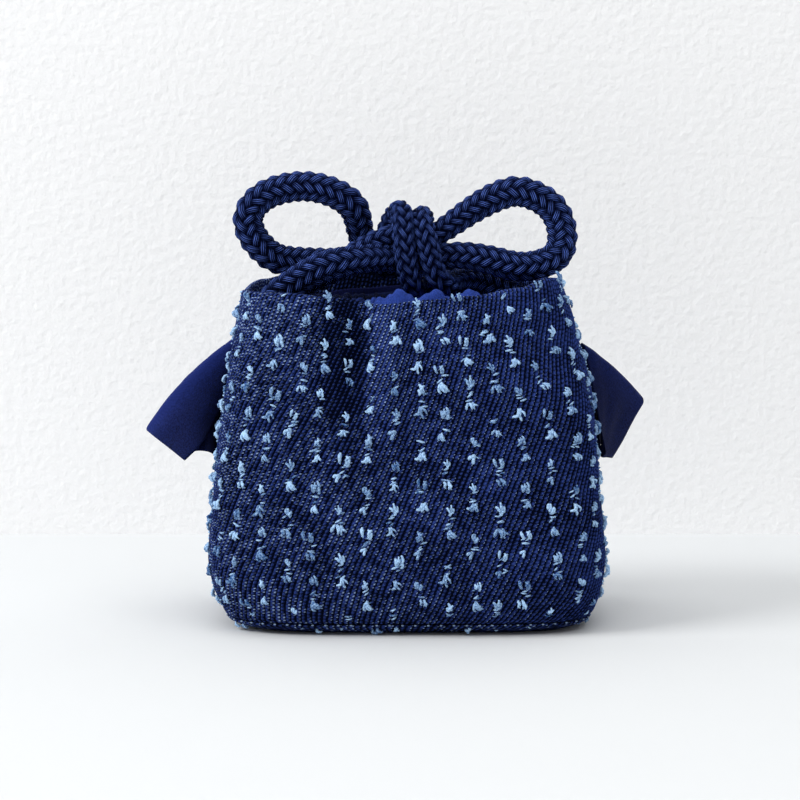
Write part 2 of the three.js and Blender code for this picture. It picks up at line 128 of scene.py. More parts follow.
# The cord's route and its radius there.
CORD_ROUTE = [
    # back tunnel, to the left
    (0.9, 17, 77, 3.9),
    (-14, 14.7, 77, 3.9),
    (-24.8, 9, 77, 3.9),
    # out of the left slit, behind, and up into the tie
    (-29.5, 5.3, 77.8, 3.9),
    (-32, 2.6, 81.5, 3.9),
    (-28.5, 0, 85.6, 3.9),
    (-22, -1.5, 88.8, 3.9),
    (-15, -1.5, 92, 3.8),
    (-9, -0.6, 95.6, 3.5),
    (-4, 0, 98.4, 3.2),
    (2, 0, 99.5, 3.1),
    (8, 0, 98.8, 2.9),
    # the right loop
    (13.2, 0.5, 101.9, 3.1),
    (19.7, 1, 106.4, 3.6),
    (26.3, 1, 110, 4),
    (32.5, 0.8, 111.3, 4),
    (40.3, 0.3, 107.5, 4),
    (43.2, -0.5, 100.6, 4),
    (41.5, -2, 94.2, 4),
    (33, -3.5, 91.6, 4),
    (25, -3, 93.3, 3.9),
    (18.5, -2, 94.6, 3.5),
    (13, -0.8, 94.6, 3.2),
    # through the tie again and down to the left slit, in front
    (7.5, 0, 93.2, 3.1),
    (2, 0, 93.1, 3.1),
    (-3, -2.6, 93.9, 3.3),
    (-9, -7.5, 93.9, 3.8),
    (-15, -10.4, 93, 4),
    (-20.5, -11, 91.3, 4),
    (-26, -10, 87.9, 4),
    (-30.8, -8, 84.5, 4),
    (-32.6, -6.4, 80.5, 4),
    (-29.5, -7, 77.3, 3.9),
    # front tunnel, to the right
    (-24.8, -9, 77, 3.9),
    (-14, -14.7, 77, 3.9),
    (1.5, -17, 77, 3.9),
    (17, -14.7, 77, 3.9),
    (27.8, -9, 77, 3.9),
    # out of the right slit, in front, and under the tie
    (32.5, -6, 77.3, 3.9),
    (35.2, -3.6, 80.8, 3.9),
    (30.5, 1, 84.2, 3.9),
    (22, 4.9, 87.3, 3.8),
    (15.5, 3, 87.4, 3.2),
    (13.6, -1.6, 86.8, 2.8),
    # the right wrap: up the front, over the top and down the back
    (10.9, -5.5, 88.4, 2.7),
    (9.2, -6.3, 92.3, 2.65),
    (7.8, -6.2, 98.4, 2.65),
    (7, -3.8, 102.8, 2.65),
    (6.7, 0.4, 104.9, 2.65),
    (6.2, 4.8, 102.9, 2.65),
    (5.2, 7.3, 98.4, 2.65),
    (3, 8.8, 94, 2.7),
    (-0.5, 11.8, 91.2, 2.8),
    (-5, 14.4, 91.8, 3),
    # the left loop
    (-8.4, 14.2, 96, 3.3),
    (-9.9, 10.4, 101.8, 3.7),
    (-11.4, 7, 107.4, 4),
    (-17.1, 5.5, 111.2, 4),
    (-25.1, 4.5, 112.7, 4),
    (-34, 3.6, 110.6, 4),
    (-38.8, 3.2, 105.6, 4),
    (-38.2, 3.4, 100.4, 4),
    (-35, 4, 96.1, 4),
    (-31.3, 5.2, 93.5, 4),
    (-25, 6.8, 92.7, 4),
    (-15.8, 8, 92.5, 3.9),
    # the left wrap: up the back, over the top and down the front
    (-10.5, 8.3, 93, 3.5),
    (-5.4, 8.3, 95.3, 3.1),
    (-2.8, 7.4, 99.8, 2.8),
    (-1, 4.4, 104.3, 2.65),
    (1, 0, 106.4, 2.65),
    (1.5, -4, 103.7, 2.65),
    (1.9, -6.2, 98.8, 2.65),
    (2.7, -6.2, 92.6, 2.65),
    (4, -4.4, 87.6, 2.7),
    (5, 0, 85.9, 2.7),
    # under the tie and out to the right slit, behind
    (8.6, 5, 86.1, 3),
    (14, 9.7, 87.1, 3.5),
    (22, 12.6, 87.3, 3.8),
    (30.5, 9.8, 86.8, 3.9),
    (35.8, 7.2, 82.2, 3.9),
    (32.3, 6.8, 77.5, 3.9),
    # back tunnel, to the middle
    (27.8, 9, 77, 3.9),
    (17, 14.7, 77, 3.9),
    (2.1, 17, 77, 3.9),
]

TAB = {"width": 18.0, "layer": 1.0, "fold_radius": 1.3, "opening": 0.8}
# Each tab's folded top edge, the way its width hangs from it, the side of the fold that faces the front,
# how much further than the width its front and back layers hang, at the root and at the tip, its flat size
# in metres, and how strong the painted highlight along its fold is.
TABS = {
    "left": {
        "edge": [(-42.6, 0, 73.2), (-56, 0, 64), (-65.6, -0.5, 49)],
        "hang_at_root": (-0.16, 0, -0.987),
        "hang_at_tip": (0.675, -0.617, -0.405),
        "front": -1,
        "front_extra": (0, 0),
        "back_extra": (12, -5),
        "flat": (0.03, 0.037),
        "painted_fold_highlight": 0.95,
    },
    "right": {
        "edge": [(48.5, 0, 71.8), (57.3, 2.5, 66.1), (66.2, 14.5, 56.2)],
        "hang_at_root": (0.2, 0, -0.98),
        "hang_at_tip": (-0.52, 0, -0.855),
        "front": 1,
        "front_extra": (11.5, 0),
        "back_extra": (11.5, -3),
        "flat": (0.024, 0.04),
        "painted_fold_highlight": 0.3,
    },
}

# ---------------------------------------------------------------- sizes and colours that a user may change


def linear(hex_colour):
    """An sRGB hex colour as linear red, green and blue."""
    channels = [int(hex_colour[i : i + 2], 16) / 255 for i in (1, 3, 5)]
    return tuple(c / 12.92 if c <= 0.04045 else ((c + 0.055) / 1.055) ** 2.4 for c in channels)


class PouchSizes(bpy.types.PropertyGroup):
    """The sizes of the cloth, the cut yarns and the cord."""

    denim: bpy.props.FloatProperty(
        name="Denim", description="Thickness of the denim", default=0.0014, unit="LENGTH"
    )
    cotton: bpy.props.FloatProperty(
        name="Cotton",
        description="Thickness of the plain cotton",
        default=0.0006,
        unit="LENGTH",
    )
    twill: bpy.props.FloatProperty(
        name="Twill",
        description="Distance between two twill ridges, measured level",
        default=0.00137,
        unit="LENGTH",
    )
    twill_rise: bpy.props.FloatProperty(
        name="Twill rise",
        description="How steeply the twill ridges climb to the right",
        default=math.radians(66.5),
        subtype="ANGLE",
    )
    ridge: bpy.props.FloatProperty(
        name="Ridge",
        description="How far a twill ridge stands up from the middle of the cloth",
        default=0.00016,
        unit="LENGTH",
    )
    tuft_columns: bpy.props.FloatProperty(
        name="Tuft columns",
        description="Distance between the upright rows of cut yarns",
        default=0.0064,
        unit="LENGTH",
    )
    tuft_pitch: bpy.props.FloatProperty(
        name="Tuft pitch",
        description="Distance from one cut yarn to the next in a row",
        default=0.012,
        unit="LENGTH",
    )
    stitch: bpy.props.FloatProperty(
        name="Stitch", description="Length of a base seam stitch", default=0.0032, unit="LENGTH"
    )
    cord: bpy.props.FloatProperty(
        name="Cord", description="Thickness of the cord", default=0.008, unit="LENGTH"
    )
    cord_lay: bpy.props.FloatProperty(
        name="Cord lay",
        description="Length of cord in which a strand goes once round",
        default=0.0225,
        unit="LENGTH",
    )
    strands: bpy.props.IntProperty(
        name="Strands", description="Strands in the braid, half each way round", default=16
    )
    seed: bpy.props.IntProperty(name="Seed", description="Changes what is uneven by chance", default=7)


class PouchColours(bpy.types.PropertyGroup):
    """The colours of the cloth, the yarns and the cord; some of them are painted light and shade."""

    indigo: bpy.props.FloatVectorProperty(
        name="Indigo",
        description="The dyed warp on top of a twill ridge",
        subtype="COLOR",
        default=linear("#2e4288"),
    )
    # painted shade: the groove colour is near black, standing for the shade between the ridges, not the
    # warp's own dye
    painted_groove_shade: bpy.props.FloatVectorProperty(
        name="Groove",
        description="The dyed warp down between two ridges",
        subtype="COLOR",
        default=linear("#01061c"),
    )
    weft: bpy.props.FloatVectorProperty(
        name="Weft",
        description="The pale weft that shows between the warps",
        subtype="COLOR",
        default=linear("#b4d0ff"),
    )
    cut_yarn: bpy.props.FloatVectorProperty(
        name="Cut yarn",
        description="The cut and fluffed yarn ends",
        subtype="COLOR",
        default=linear("#8db2da"),
    )
    # painted shade: the lining is given a much darker navy than the collar and tabs, though it is the same
    # cotton, because it lies in the shade inside the pouch
    lining: bpy.props.FloatVectorProperty(
        name="Lining",
        description="The plain-woven lining",
        subtype="COLOR",
        default=linear("#0d1440"),
    )
    # painted light: the collar is given a brighter blue than the lining and tabs, as its top catches the
    # overhead light
    collar: bpy.props.FloatVectorProperty(
        name="Collar",
        description="The plain-woven collar, thin enough to look bright",
        subtype="COLOR",
        default=linear("#324da8"),
    )
    # painted shade: the tabs are given a darker navy than the collar, as they face the front, away from the
    # overhead light
    tabs: bpy.props.FloatVectorProperty(
        name="Pull tabs",
        description="The plain-woven pull tabs, darker because they are doubled",
        subtype="COLOR",
        default=linear("#141f52"),
    )
    cord: bpy.props.FloatVectorProperty(
        name="Cord",
        description="The braided cord",
        subtype="COLOR",
        default=linear("#182c7c"),
    )
    thread: bpy.props.FloatVectorProperty(
        name="Thread",
        description="The base seam's thread",
        subtype="COLOR",
        default=linear("#9db6d8"),
    )


# ---------------------------------------------------------------- plan and rim of the pouch


def smoothstep(x, low, high):
    """0 below low, 1 above high and a smooth rise between."""
    t = np.clip((np.asarray(x, float) - low) / (high - low), 0, 1)
    return t * t * (3 - 2 * t)


def level_at(z):
    """Half width, half depth and centre of the denim at some heights, on smooth curves through the levels."""
    last = len(BODY_LEVELS) - 1
    i = np.clip(np.searchsorted(BODY_LEVELS[:, 0], z), 1, last)
    before, a = BODY_LEVELS[np.maximum(i - 2, 0)], BODY_LEVELS[i - 1]
    b, after = BODY_LEVELS[i], BODY_LEVELS[np.minimum(i + 1, last)]
    span = (b[..., 0] - a[..., 0])[..., None]
    t = (np.asarray(z, float)[..., None] - a[..., :1]) / span
    slope_a = (b - before)[..., 1:] / (b - before)[..., :1] * span
    slope_b = (after - a)[..., 1:] / (after - a)[..., :1] * span
    blend = (
        a[..., 1:] * (1 + 2 * t) * (1 - t) ** 2
        + slope_a * t * (1 - t) ** 2
        + b[..., 1:] * t * t * (3 - 2 * t)
        + slope_b * t * t * (t - 1)
    )
    return blend[..., 0], blend[..., 1], blend[..., 2]


def plan_point(angle, z, inset):
    """Points of the rounded-rectangle plan at some heights, in directions seen from its middle."""
    angle, z, inset = np.broadcast_arrays(
        np.asarray(angle, float), np.asarray(z, float), np.asarray(inset, float)
    )
    half_x, half_y, centre_x = level_at(z)
    c, s = np.cos(angle), np.sin(angle)
    reach = (
        (np.abs(c) / (half_x - inset)) ** CORNER_POWER
        + (np.abs(s) / (half_y - inset)) ** CORNER_POWER
    ) ** (-1 / CORNER_POWER)
    x = centre_x + reach * c
    from_fold = x - PLEAT["x"]
    fold_width = np.where(from_fold < 0, PLEAT["left"], PLEAT["right"])
    from_crest = (x - PLEAT_CREST["x"]) / PLEAT_CREST["half_width"]
    dent = (
        (
            PLEAT["depth"] * np.exp(-((from_fold / fold_width) ** 2))
            - PLEAT_CREST["height"] * np.exp(-(from_crest**2))
        )
        * smoothstep(z, PLEAT["from"], PLEAT["to"])
        * (s < 0)
    )
    ripple = (
        RIPPLE["depth"]
        * np.abs(s)
        * np.sin(RIPPLE["waves"] * angle)
        * smoothstep(z, RIPPLE["from"], RIPPLE["to"])
    )
    y = reach * s + dent - np.sign(s) * ripple
    return np.stack([x, y, z], -1)


def pleat_painted_light(x, z):
    """Painted light and shade by the pleat: a painted highlight above 0 on its crest, a painted shade below 0
    in its fold, and a painted light that grows towards the rim.
    """
    crest = np.exp(-(((x - PLEAT_CREST["x"] + 1) / PLEAT_CREST["half_width"]) ** 2))
    fold = np.exp(-(((x - PLEAT["x"] + 4) / PLEAT["left"]) ** 2))
    # painted light: the denim is painted paler towards the rim, where the overhead light falls
    painted_rim_light = 0.35 * smoothstep(z, 55, 86)
    return (0.7 * crest - fold) * smoothstep(z, PLEAT["from"], PLEAT["to"] - 6) + painted_rim_light


def pleat_push(x):
    """How far inward the pleat pushes what lies behind it."""
    return TUNNEL_SHIFT * np.exp(-(((x - PLEAT["x"]) / 8) ** 2))


def rim_at(side, angle):
    """The rim's height in some directions."""
    share = (math.pi - np.abs(angle)) / math.pi
    places = np.array(RIM[side])
    i = np.clip(np.searchsorted(places[:, 0], share), 1, len(places) - 1)
    low, high = places[i - 1], places[i]
    blend = smoothstep((share - low[..., 0]) / (high - low)[..., 0], 0, 1)
    return low[..., 1] + (high - low)[..., 1] * blend


# ---------------------------------------------------------------- cloth coordinates
# A panel's own grid: u runs level round the pouch from the left side seam to the right one, and v climbs the
# cloth from the base seam. Both are in millimetres of cloth, so that the weave can follow them.

MEASURED_AT = 45.0  # the height at which u is true
TAPER_FROM = 53.0  # above this much v, the rows gather to meet the rim
CLOTH_HEIGHT = 83.0
NEAR = {"front": -1, "back": 1}
SEAM_LAP = 0.006  # how far the walls reach past a side seam, as an angle
SLUMP = ((0.26, 34, 0), (0.07, 10, 1))  # the unevenness of soft cloth: height, span and shift of the seed
SLUMP_FREE = 9.0  # how far from a side seam the cloth is free to slump
SEAM_ROLL = {"depth": 0.8, "width": 0.9}  # how the walls turn in at a side seam
BASE_ROLL = {"depth": 0.6, "height": 1.6}  # and at the base seam


def girth_table(side):
    """Angle against length of cloth round half the pouch."""
    seam = SEAM_GAP / 2 / BODY_LEVELS[0, 1]
    angle = NEAR[side] * np.linspace(math.pi - seam, seam, 4001)
    steps = np.linalg.norm(np.diff(plan_point(angle, MEASURED_AT, 0), axis=0), axis=1)
    # the outermost threads reach past the side seams, into the other wall, so that the seams are closed
    angle[[0, -1]] = NEAR[side] * np.array([math.pi + SEAM_LAP, -SEAM_LAP])
    return angle, np.concatenate([[0], np.cumsum(steps)])


GIRTH = {side: girth_table(side) for side in NEAR}
HALF_GIRTH = {side: float(GIRTH[side][1][-1]) for side in NEAR}


def wander(u, v, amount, span, seed, waves=9):
    """A smooth, seeded unevenness of about that height in mm, with hollows about half a span wide."""
    draw = np.random.default_rng(seed)
    total = 0.0
    for _ in range(waves):
        heading, phase = draw.uniform(0, 2 * math.pi, 2)
        length = span * draw.uniform(0.55, 1.7)
        total = total + np.sin(2 * math.pi * (u * math.cos(heading) + v * math.sin(heading)) / length + phase)
    return amount * total * math.sqrt(2 / waves)


def slump(side, u, v, seed):
    """How far inward the soft cloth lies from the plain plan, in mm."""
    from_seam = np.minimum(u, HALF_GIRTH[side] - u)
    free = 1 - np.exp(-((from_seam / SLUMP_FREE) ** 2))
    elsewhere = 300 if side == "back" else 0  # so that the two walls differ
    soft = sum(wander(u + elsewhere, v, height, span, seed + k) for height, span, k in SLUMP)
    seam_roll = SEAM_ROLL["depth"] * np.exp(-((from_seam / SEAM_ROLL["width"]) ** 2))
    base_roll = BASE_ROLL["depth"] * np.clip(1 - v / BASE_ROLL["height"], 0, 1) ** 2
    return soft * free * smoothstep(v, 0, 6) + seam_roll + base_roll


def cloth_point(side, u, v, depth, seed):
    """Points of a wall at cloth coordinates, `depth` mm inside its outer face."""
    angle_list, length_list = GIRTH[side]
    angle = np.interp(u, length_list, angle_list)
    top = rim_at(side, angle) - BASE_Z
    squeeze = (top - TAPER_FROM) / (CLOTH_HEIGHT - TAPER_FROM)
    climb = np.where(v < TAPER_FROM, v, TAPER_FROM + (v - TAPER_FROM) * squeeze)
    return plan_point(angle, BASE_Z + climb, depth + slump(side, u, v, seed))


# ---------------------------------------------------------------- meshes


def mesh_piece(name, points, faces, material=None, edges=(), **fields):
    """A smooth-shaded piece from points in mm and faces, turned so that its faces point outwards."""
    points = np.asarray(points, float)
    area_vectors = 0.0
    for face in faces:
        if len(face) == 3:
            a, b, c = points[face[0]], points[face[1]], points[face[2]]
            area_vectors += float(np.dot(a, np.cross(b, c)))
    if area_vectors < 0:
        faces = [tuple(reversed(face)) for face in faces]
    mesh = bpy.data.meshes.new(name)
    mesh.from_pydata((points * MM).tolist(), edges, faces)
    mesh.polygons.foreach_set("use_smooth", [True] * len(mesh.polygons))
    for field, values in fields.items():
        store(mesh, field, values)
    if material:
        mesh.materials.append(material)
    mesh.update()
    piece = bpy.data.objects.new(name, mesh)
    bpy.context.scene.collection.objects.link(piece)
    return piece


def store(mesh, field, values):
    """Keeps a number, a whole number or a vector for each of the mesh's points."""
    if values.ndim == 2:
        kind, key, stored_as = "FLOAT_VECTOR", "vector", np.float32
    elif values.dtype.kind == "i":
        kind, key, stored_as = "INT", "value", np.int32
    else:
        kind, key, stored_as = "FLOAT", "value", np.float32
    layer = mesh.attributes.new(field, kind, "POINT")
    layer.data.foreach_set(key, values.astype(stored_as).ravel())


def section_faces(rows, columns, first=0):
    """Faces of a closed section of `rows` points, carried along `columns` steps and closed at both ends."""
    i, j = np.meshgrid(np.arange(rows), np.arange(columns - 1), indexing="ij")
    near, far = i * columns + j, ((i + 1) % rows) * columns + j
    split = np.stack(
        [np.stack([near, near + 1, far + 1], -1), np.stack([near, far + 1, far], -1)],
        2,
    ).reshape(-1, 3)
    faces = [tuple(face) for face in (split + first).tolist()]
    faces.append(tuple(int(first + k * columns) for k in range(rows)))
    faces.append(tuple(int(first + k * columns + columns - 1) for k in reversed(range(rows))))
    return faces


def guide_line(points):
    """The edges of one open line through all the points."""
    return [(k, k + 1) for k in range(len(points) - 1)]


def swept_piece(name, sections, cloth, material):
    """A piece from grids of points, rows round a closed section and columns along, and their cloth places."""
    points, places, faces = [], [], []
    for grid, place in zip(sections, cloth):
        first = sum(len(p) for p in points)
        faces += section_faces(grid.shape[0], grid.shape[1], first)
        points.append(grid.reshape(-1, 3))
        places.append(place.reshape(-1, 3))
    return mesh_piece(name, np.concatenate(points), faces, material, cloth=np.concatenate(places))


def grid_normals(grid):
    """Unit normals of a grid of points, (rows, columns, 3)."""
    normals = np.cross(np.gradient(grid, axis=1), np.gradient(grid, axis=0))
    return normals / np.maximum(np.linalg.norm(normals, axis=-1, keepdims=True), 1e-9)


def thick_section(middle, cloth, thickness):
    """A sheet's closed section about its middle surface, with its two long edges rounded."""
    half = grid_normals(middle) * thickness / 2
    edges = []
    for end, inside in ((-1, -2), (0, 1)):
        outward = middle[end] - middle[inside]
        outward = outward / np.linalg.norm(outward, axis=-1, keepdims=True) * thickness / 2
        edges.append((middle[end] + outward)[None])
    grid = np.concatenate([middle + half, edges[0], (middle - half)[::-1], edges[1]])
    places = np.concatenate([cloth, cloth[-1:], cloth[::-1], cloth[:1]])
    return grid, places


def through(points, steps):
    """A smooth line through a few points, with that many steps between each two. Points may be grids."""
    points = [np.asarray(p, float) for p in points]
    ends = [2 * points[0] - points[1], *points, 2 * points[-1] - points[-2]]
    line = []
    for a, b, c, d in zip(ends, ends[1:], ends[2:], ends[3:]):
        for t in np.arange(steps) / steps:
            line.append(
                0.5
                * (2 * b + (c - a) * t + (2 * a - 5 * b + 4 * c - d) * t * t + (3 * b - a - 3 * c + d) * t**3)
            )
    line.append(points[-1])
    return np.stack(line)


def finish_piece(piece, slot, *nodes):
    """Puts a finished piece on the pouch, in place of the CAD nodes it stands for."""
    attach(piece, BODY)
    if nodes:
        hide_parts(*nodes)
    return piece


# ---------------------------------------------------------------- node trees


def add(tree, kind, links=None, **settings):
    """Adds a node with its settings. links gives its inputs a value, a socket or a node's first output."""
    node = tree.nodes.new(kind)
    for name, value in settings.items():
        setattr(node, name, value)
    for key, source in (links or {}).items():
        if isinstance(source, bpy.types.Node):
            source = source.outputs[0]
        if isinstance(source, bpy.types.NodeSocket):
            tree.links.new(source, node.inputs[key])
        else:
            node.inputs[key].default_value = source
    return node


def geometry_tree(name, inputs):
    """An empty Geometry Nodes tree with named inputs, each (name, socket type, default)."""
    tree = bpy.data.node_groups.new(name, "GeometryNodeTree")
    tree.interface.new_socket("Geometry", in_out="INPUT", socket_type="NodeSocketGeometry")
    for label, kind, default in inputs:
        socket = tree.interface.new_socket(label, in_out="INPUT", socket_type="NodeSocket" + kind)
        if default is not None:
            socket.default_value = default
    tree.interface.new_socket("Geometry", in_out="OUTPUT", socket_type="NodeSocketGeometry")
    return tree, add(tree, "NodeGroupInput").outputs


def close_tree(tree, geometry, material):
    """Ends a Geometry Nodes tree: real geometry, one material."""
    real = add(tree, "GeometryNodeRealizeInstances", {0: geometry})
    painted = add(tree, "GeometryNodeSetMaterial", {"Geometry": real, "Material": material})
    add(tree, "NodeGroupOutput", {0: painted})


def grown(piece, tree, values):
    """Runs a Geometry Nodes tree on a piece and keeps the result as its plain mesh."""
    modifier = piece.modifiers.new(tree.name, "NODES")
    modifier.node_group = tree
    for socket in tree.interface.items_tree:
        if socket.in_out == "INPUT" and socket.name in values:
            modifier[socket.identifier] = values[socket.name]
    graph = bpy.context.evaluated_depsgraph_get()
    mesh = bpy.data.meshes.new_from_object(
        piece.evaluated_get(graph), preserve_all_data_layers=True, depsgraph=graph
    )
    guide = piece.data
    piece.modifiers.clear()
    piece.data = mesh
    mesh.name = piece.name
    bpy.data.meshes.remove(guide)
    mesh.polygons.foreach_set("use_smooth", [True] * len(mesh.polygons))
    mesh.update()
    return piece


def new_material(name, roughness, sheen=0.0, sheen_roughness=0.5):
    """A material, its tree and its Principled shader, set for dry cotton, which has next to no gloss."""
    material = bpy.data.materials.new(name)
    material.use_nodes = True
    tree = material.node_tree
    shader = tree.nodes["Principled BSDF"]
    shader.inputs["Roughness"].default_value = roughness
    shader.inputs["IOR"].default_value = 1.53
    shader.inputs["Specular IOR Level"].default_value = 0.05
    shader.inputs["Sheen Weight"].default_value = sheen
    shader.inputs["Sheen Roughness"].default_value = sheen_roughness
    return material, tree, shader


# ---------------------------------------------------------------- materials


def indigo_cotton_twill(sizes, colours):
    """Indigo cotton twill denim: slanting ridges of dyed warp, painted shade down between them, and specks of
    pale weft in the dark grooves.
    """
    material, tree, shader = new_material("indigo cotton twill", 0.9)
    spacing = sizes.twill / MM
    lean = -1 / math.tan(sizes.twill_rise) / spacing
    float_length = 1.05 * math.sin(sizes.twill_rise)  # a warp float is about 1.05 mm long
    cloth = add(tree, "ShaderNodeAttribute", attribute_name="cloth")
    place = add(tree, "ShaderNodeSeparateXYZ", {0: cloth.outputs["Vector"]})
    slide = add(tree, "ShaderNodeMath", {0: place.outputs[1], 1: lean}, operation="MULTIPLY")
    across = add(
        tree,
        "ShaderNodeMath",
        {0: place.outputs[0], 1: 1 / spacing, 2: slide},
        operation="MULTIPLY_ADD",
    )
    ridge = add(tree, "ShaderNodeMath", {0: across}, operation="FLOOR")
    in_ridge = add(tree, "ShaderNodeMath", {0: across}, operation="FRACT")
    stagger = add(tree, "ShaderNodeTexWhiteNoise", {"W": ridge}, noise_dimensions="1D")
    along = add(
        tree,
        "ShaderNodeMath",
        {0: place.outputs[1], 1: 1 / float_length, 2: stagger.outputs["Value"]},
        operation="MULTIPLY_ADD",
    )
    bead = add(tree, "ShaderNodeMath", {0: along}, operation="FLOOR")
    in_bead = add(tree, "ShaderNodeMath", {0: along}, operation="FRACT")
    cell = add(tree, "ShaderNodeCombineXYZ", {0: ridge, 1: bead})
    chance = add(tree, "ShaderNodeTexWhiteNoise", {"Vector": cell}, noise_dimensions="2D")
    # crest and bead are 1 on top of a float and 0 at its sides and ends
    half_turn = add(tree, "ShaderNodeMath", {0: in_ridge, 1: math.pi}, operation="MULTIPLY")
    crest = add(tree, "ShaderNodeMath", {0: half_turn}, operation="SINE")
    bead_turn = add(tree, "ShaderNodeMath", {0: in_bead, 1: math.pi}, operation="MULTIPLY")
    swell = add(tree, "ShaderNodeMath", {0: bead_turn}, operation="SINE")
    swelling = add(tree, "ShaderNodeMath", {0: swell, 1: 0.5, 2: 0.5}, operation="MULTIPLY_ADD")
    height = add(tree, "ShaderNodeMath", {0: crest, 1: swelling}, operation="MULTIPLY")
    # the dye is a little paler here and there and differs from float to float; the cloth's third coordinate
    # adds painted light and shade, and painted shade darkens each float towards its sides and ends, down to
    # the groove colour
    painted_float_shading = add(tree, "ShaderNodeMath", {0: height, 1: 1.5}, operation="POWER")
    wide = add(tree, "ShaderNodeTexNoise", {"Vector": cloth.outputs["Vector"], "Scale": 0.09, "Detail": 3.0})
    fading = add(tree, "ShaderNodeMath", {0: wide, 1: 0.7, 2: -0.35}, operation="MULTIPLY_ADD")
    painted_light_and_tone = add(tree, "ShaderNodeMath", {0: place.outputs[2], 1: 0.34, 2: fading}, operation="MULTIPLY_ADD")
    varied = add(
        tree,
        "ShaderNodeMath",
        {0: chance.outputs["Value"], 1: 0.3, 2: painted_light_and_tone},
        operation="MULTIPLY_ADD",
    )
    # more weft specks show where the cloth's third coordinate is high, part of the painted light on the
    # pleat's crest and the rim, and partly by chance
    speck_light_and_chance = add(
        tree,
        "ShaderNodeMath",
        {0: place.outputs[2], 1: 0.6, 2: chance.outputs["Value"]},
        operation="MULTIPLY_ADD",
    )
    fibre = add(tree, "ShaderNodeTexNoise", {"Vector": cloth.outputs["Vector"], "Scale": 2.6, "Detail": 3.0})
    mottled = add(tree, "ShaderNodeMath", {0: fibre, 1: 1.1, 2: -0.5}, operation="MULTIPLY_ADD")
    dyed = add(tree, "ShaderNodeMath", {0: mottled, 1: varied}, operation="ADD")
    toned = add(tree, "ShaderNodeMath", {0: painted_float_shading, 1: dyed}, operation="ADD")
    dye = add(tree, "ShaderNodeMapRange", {"Value": toned, "From Min": 0.42, "From Max": 1.26})
    warp = add(
        tree,
        "ShaderNodeMix",
        {"Factor": dye.outputs["Result"], 6: (*colours.painted_groove_shade, 1), 7: (*colours.indigo, 1)},
        data_type="RGBA",
    )
    # a speck of weft shows at the end of most floats
    low = add(tree, "ShaderNodeMapRange", {"Value": swell, "From Min": 0.82, "From Max": 0.45})
    aside = add(tree, "ShaderNodeMath", {0: in_ridge, 1: 0.8}, operation="SUBTRACT")
    off_side = add(tree, "ShaderNodeMath", {0: aside}, operation="ABSOLUTE")
    beside = add(tree, "ShaderNodeMapRange", {"Value": off_side, "From Min": 0.18, "From Max": 0.06})
    seen = add(tree, "ShaderNodeMath", {0: fading, 1: 0.5, 2: speck_light_and_chance}, operation="MULTIPLY_ADD")
    picked = add(tree, "ShaderNodeMapRange", {"Value": seen, "From Min": 0.46, "From Max": 1.05})
    speck = add(
        tree,
        "ShaderNodeMath",
        {0: low.outputs["Result"], 1: beside.outputs["Result"]},
        operation="MULTIPLY",
    )
    shown = add(tree, "ShaderNodeMath", {0: speck, 1: picked.outputs["Result"]}, operation="MULTIPLY")
    colour = add(
        tree,
        "ShaderNodeMix",
        {"Factor": shown, 6: warp.outputs[2], 7: (*colours.weft, 1)},
        data_type="RGBA",
    )
    tree.links.new(colour.outputs[2], shader.inputs["Base Color"])
    surface = add(tree, "ShaderNodeMath", {0: fibre, 1: 0.35, 2: height}, operation="MULTIPLY_ADD")
    bump = add(tree, "ShaderNodeBump", {"Height": surface, "Distance": 0.0004})
    tree.links.new(bump.outputs["Normal"], shader.inputs["Normal"])
    return material


def cut_cotton_yarn(colours):
    """Cut cotton weft yarn: soft, fluffed and pale, without gloss, and each end took the dye differently."""
    material, tree, shader = new_material("cut cotton yarn", 1.0, 0.1)
    shade = add(tree, "ShaderNodeAttribute", attribute_name="shade")
    place = add(tree, "ShaderNodeTexCoord")
    fluff = add(
        tree,
        "ShaderNodeTexNoise",
        {"Vector": place.outputs["Object"], "Scale": 2200.0, "Detail": 2.0},
    )
    mixed = add(tree, "ShaderNodeMath", {0: fluff, 1: 2.6, 2: shade.outputs["Fac"]}, operation="MULTIPLY_ADD")
    level = add(tree, "ShaderNodeMapRange", {"Value": mixed, "From Min": 1.1, "From Max": 2.25})
    dark = tuple(c * share for c, share in zip(colours.cut_yarn, (0.08, 0.2, 0.4)))
    light = tuple(min(1.0, c * 1.35 + 0.1) for c in colours.cut_yarn)
    colour = add(
        tree,
        "ShaderNodeMix",
        {"Factor": level.outputs["Result"], 6: (*dark, 1), 7: (*light, 1)},
        data_type="RGBA",
    )
    tree.links.new(colour.outputs[2], shader.inputs["Base Color"])
    bump = add(tree, "ShaderNodeBump", {"Height": fluff, "Distance": 0.0003})
    tree.links.new(bump.outputs["Normal"], shader.inputs["Normal"])
    return material


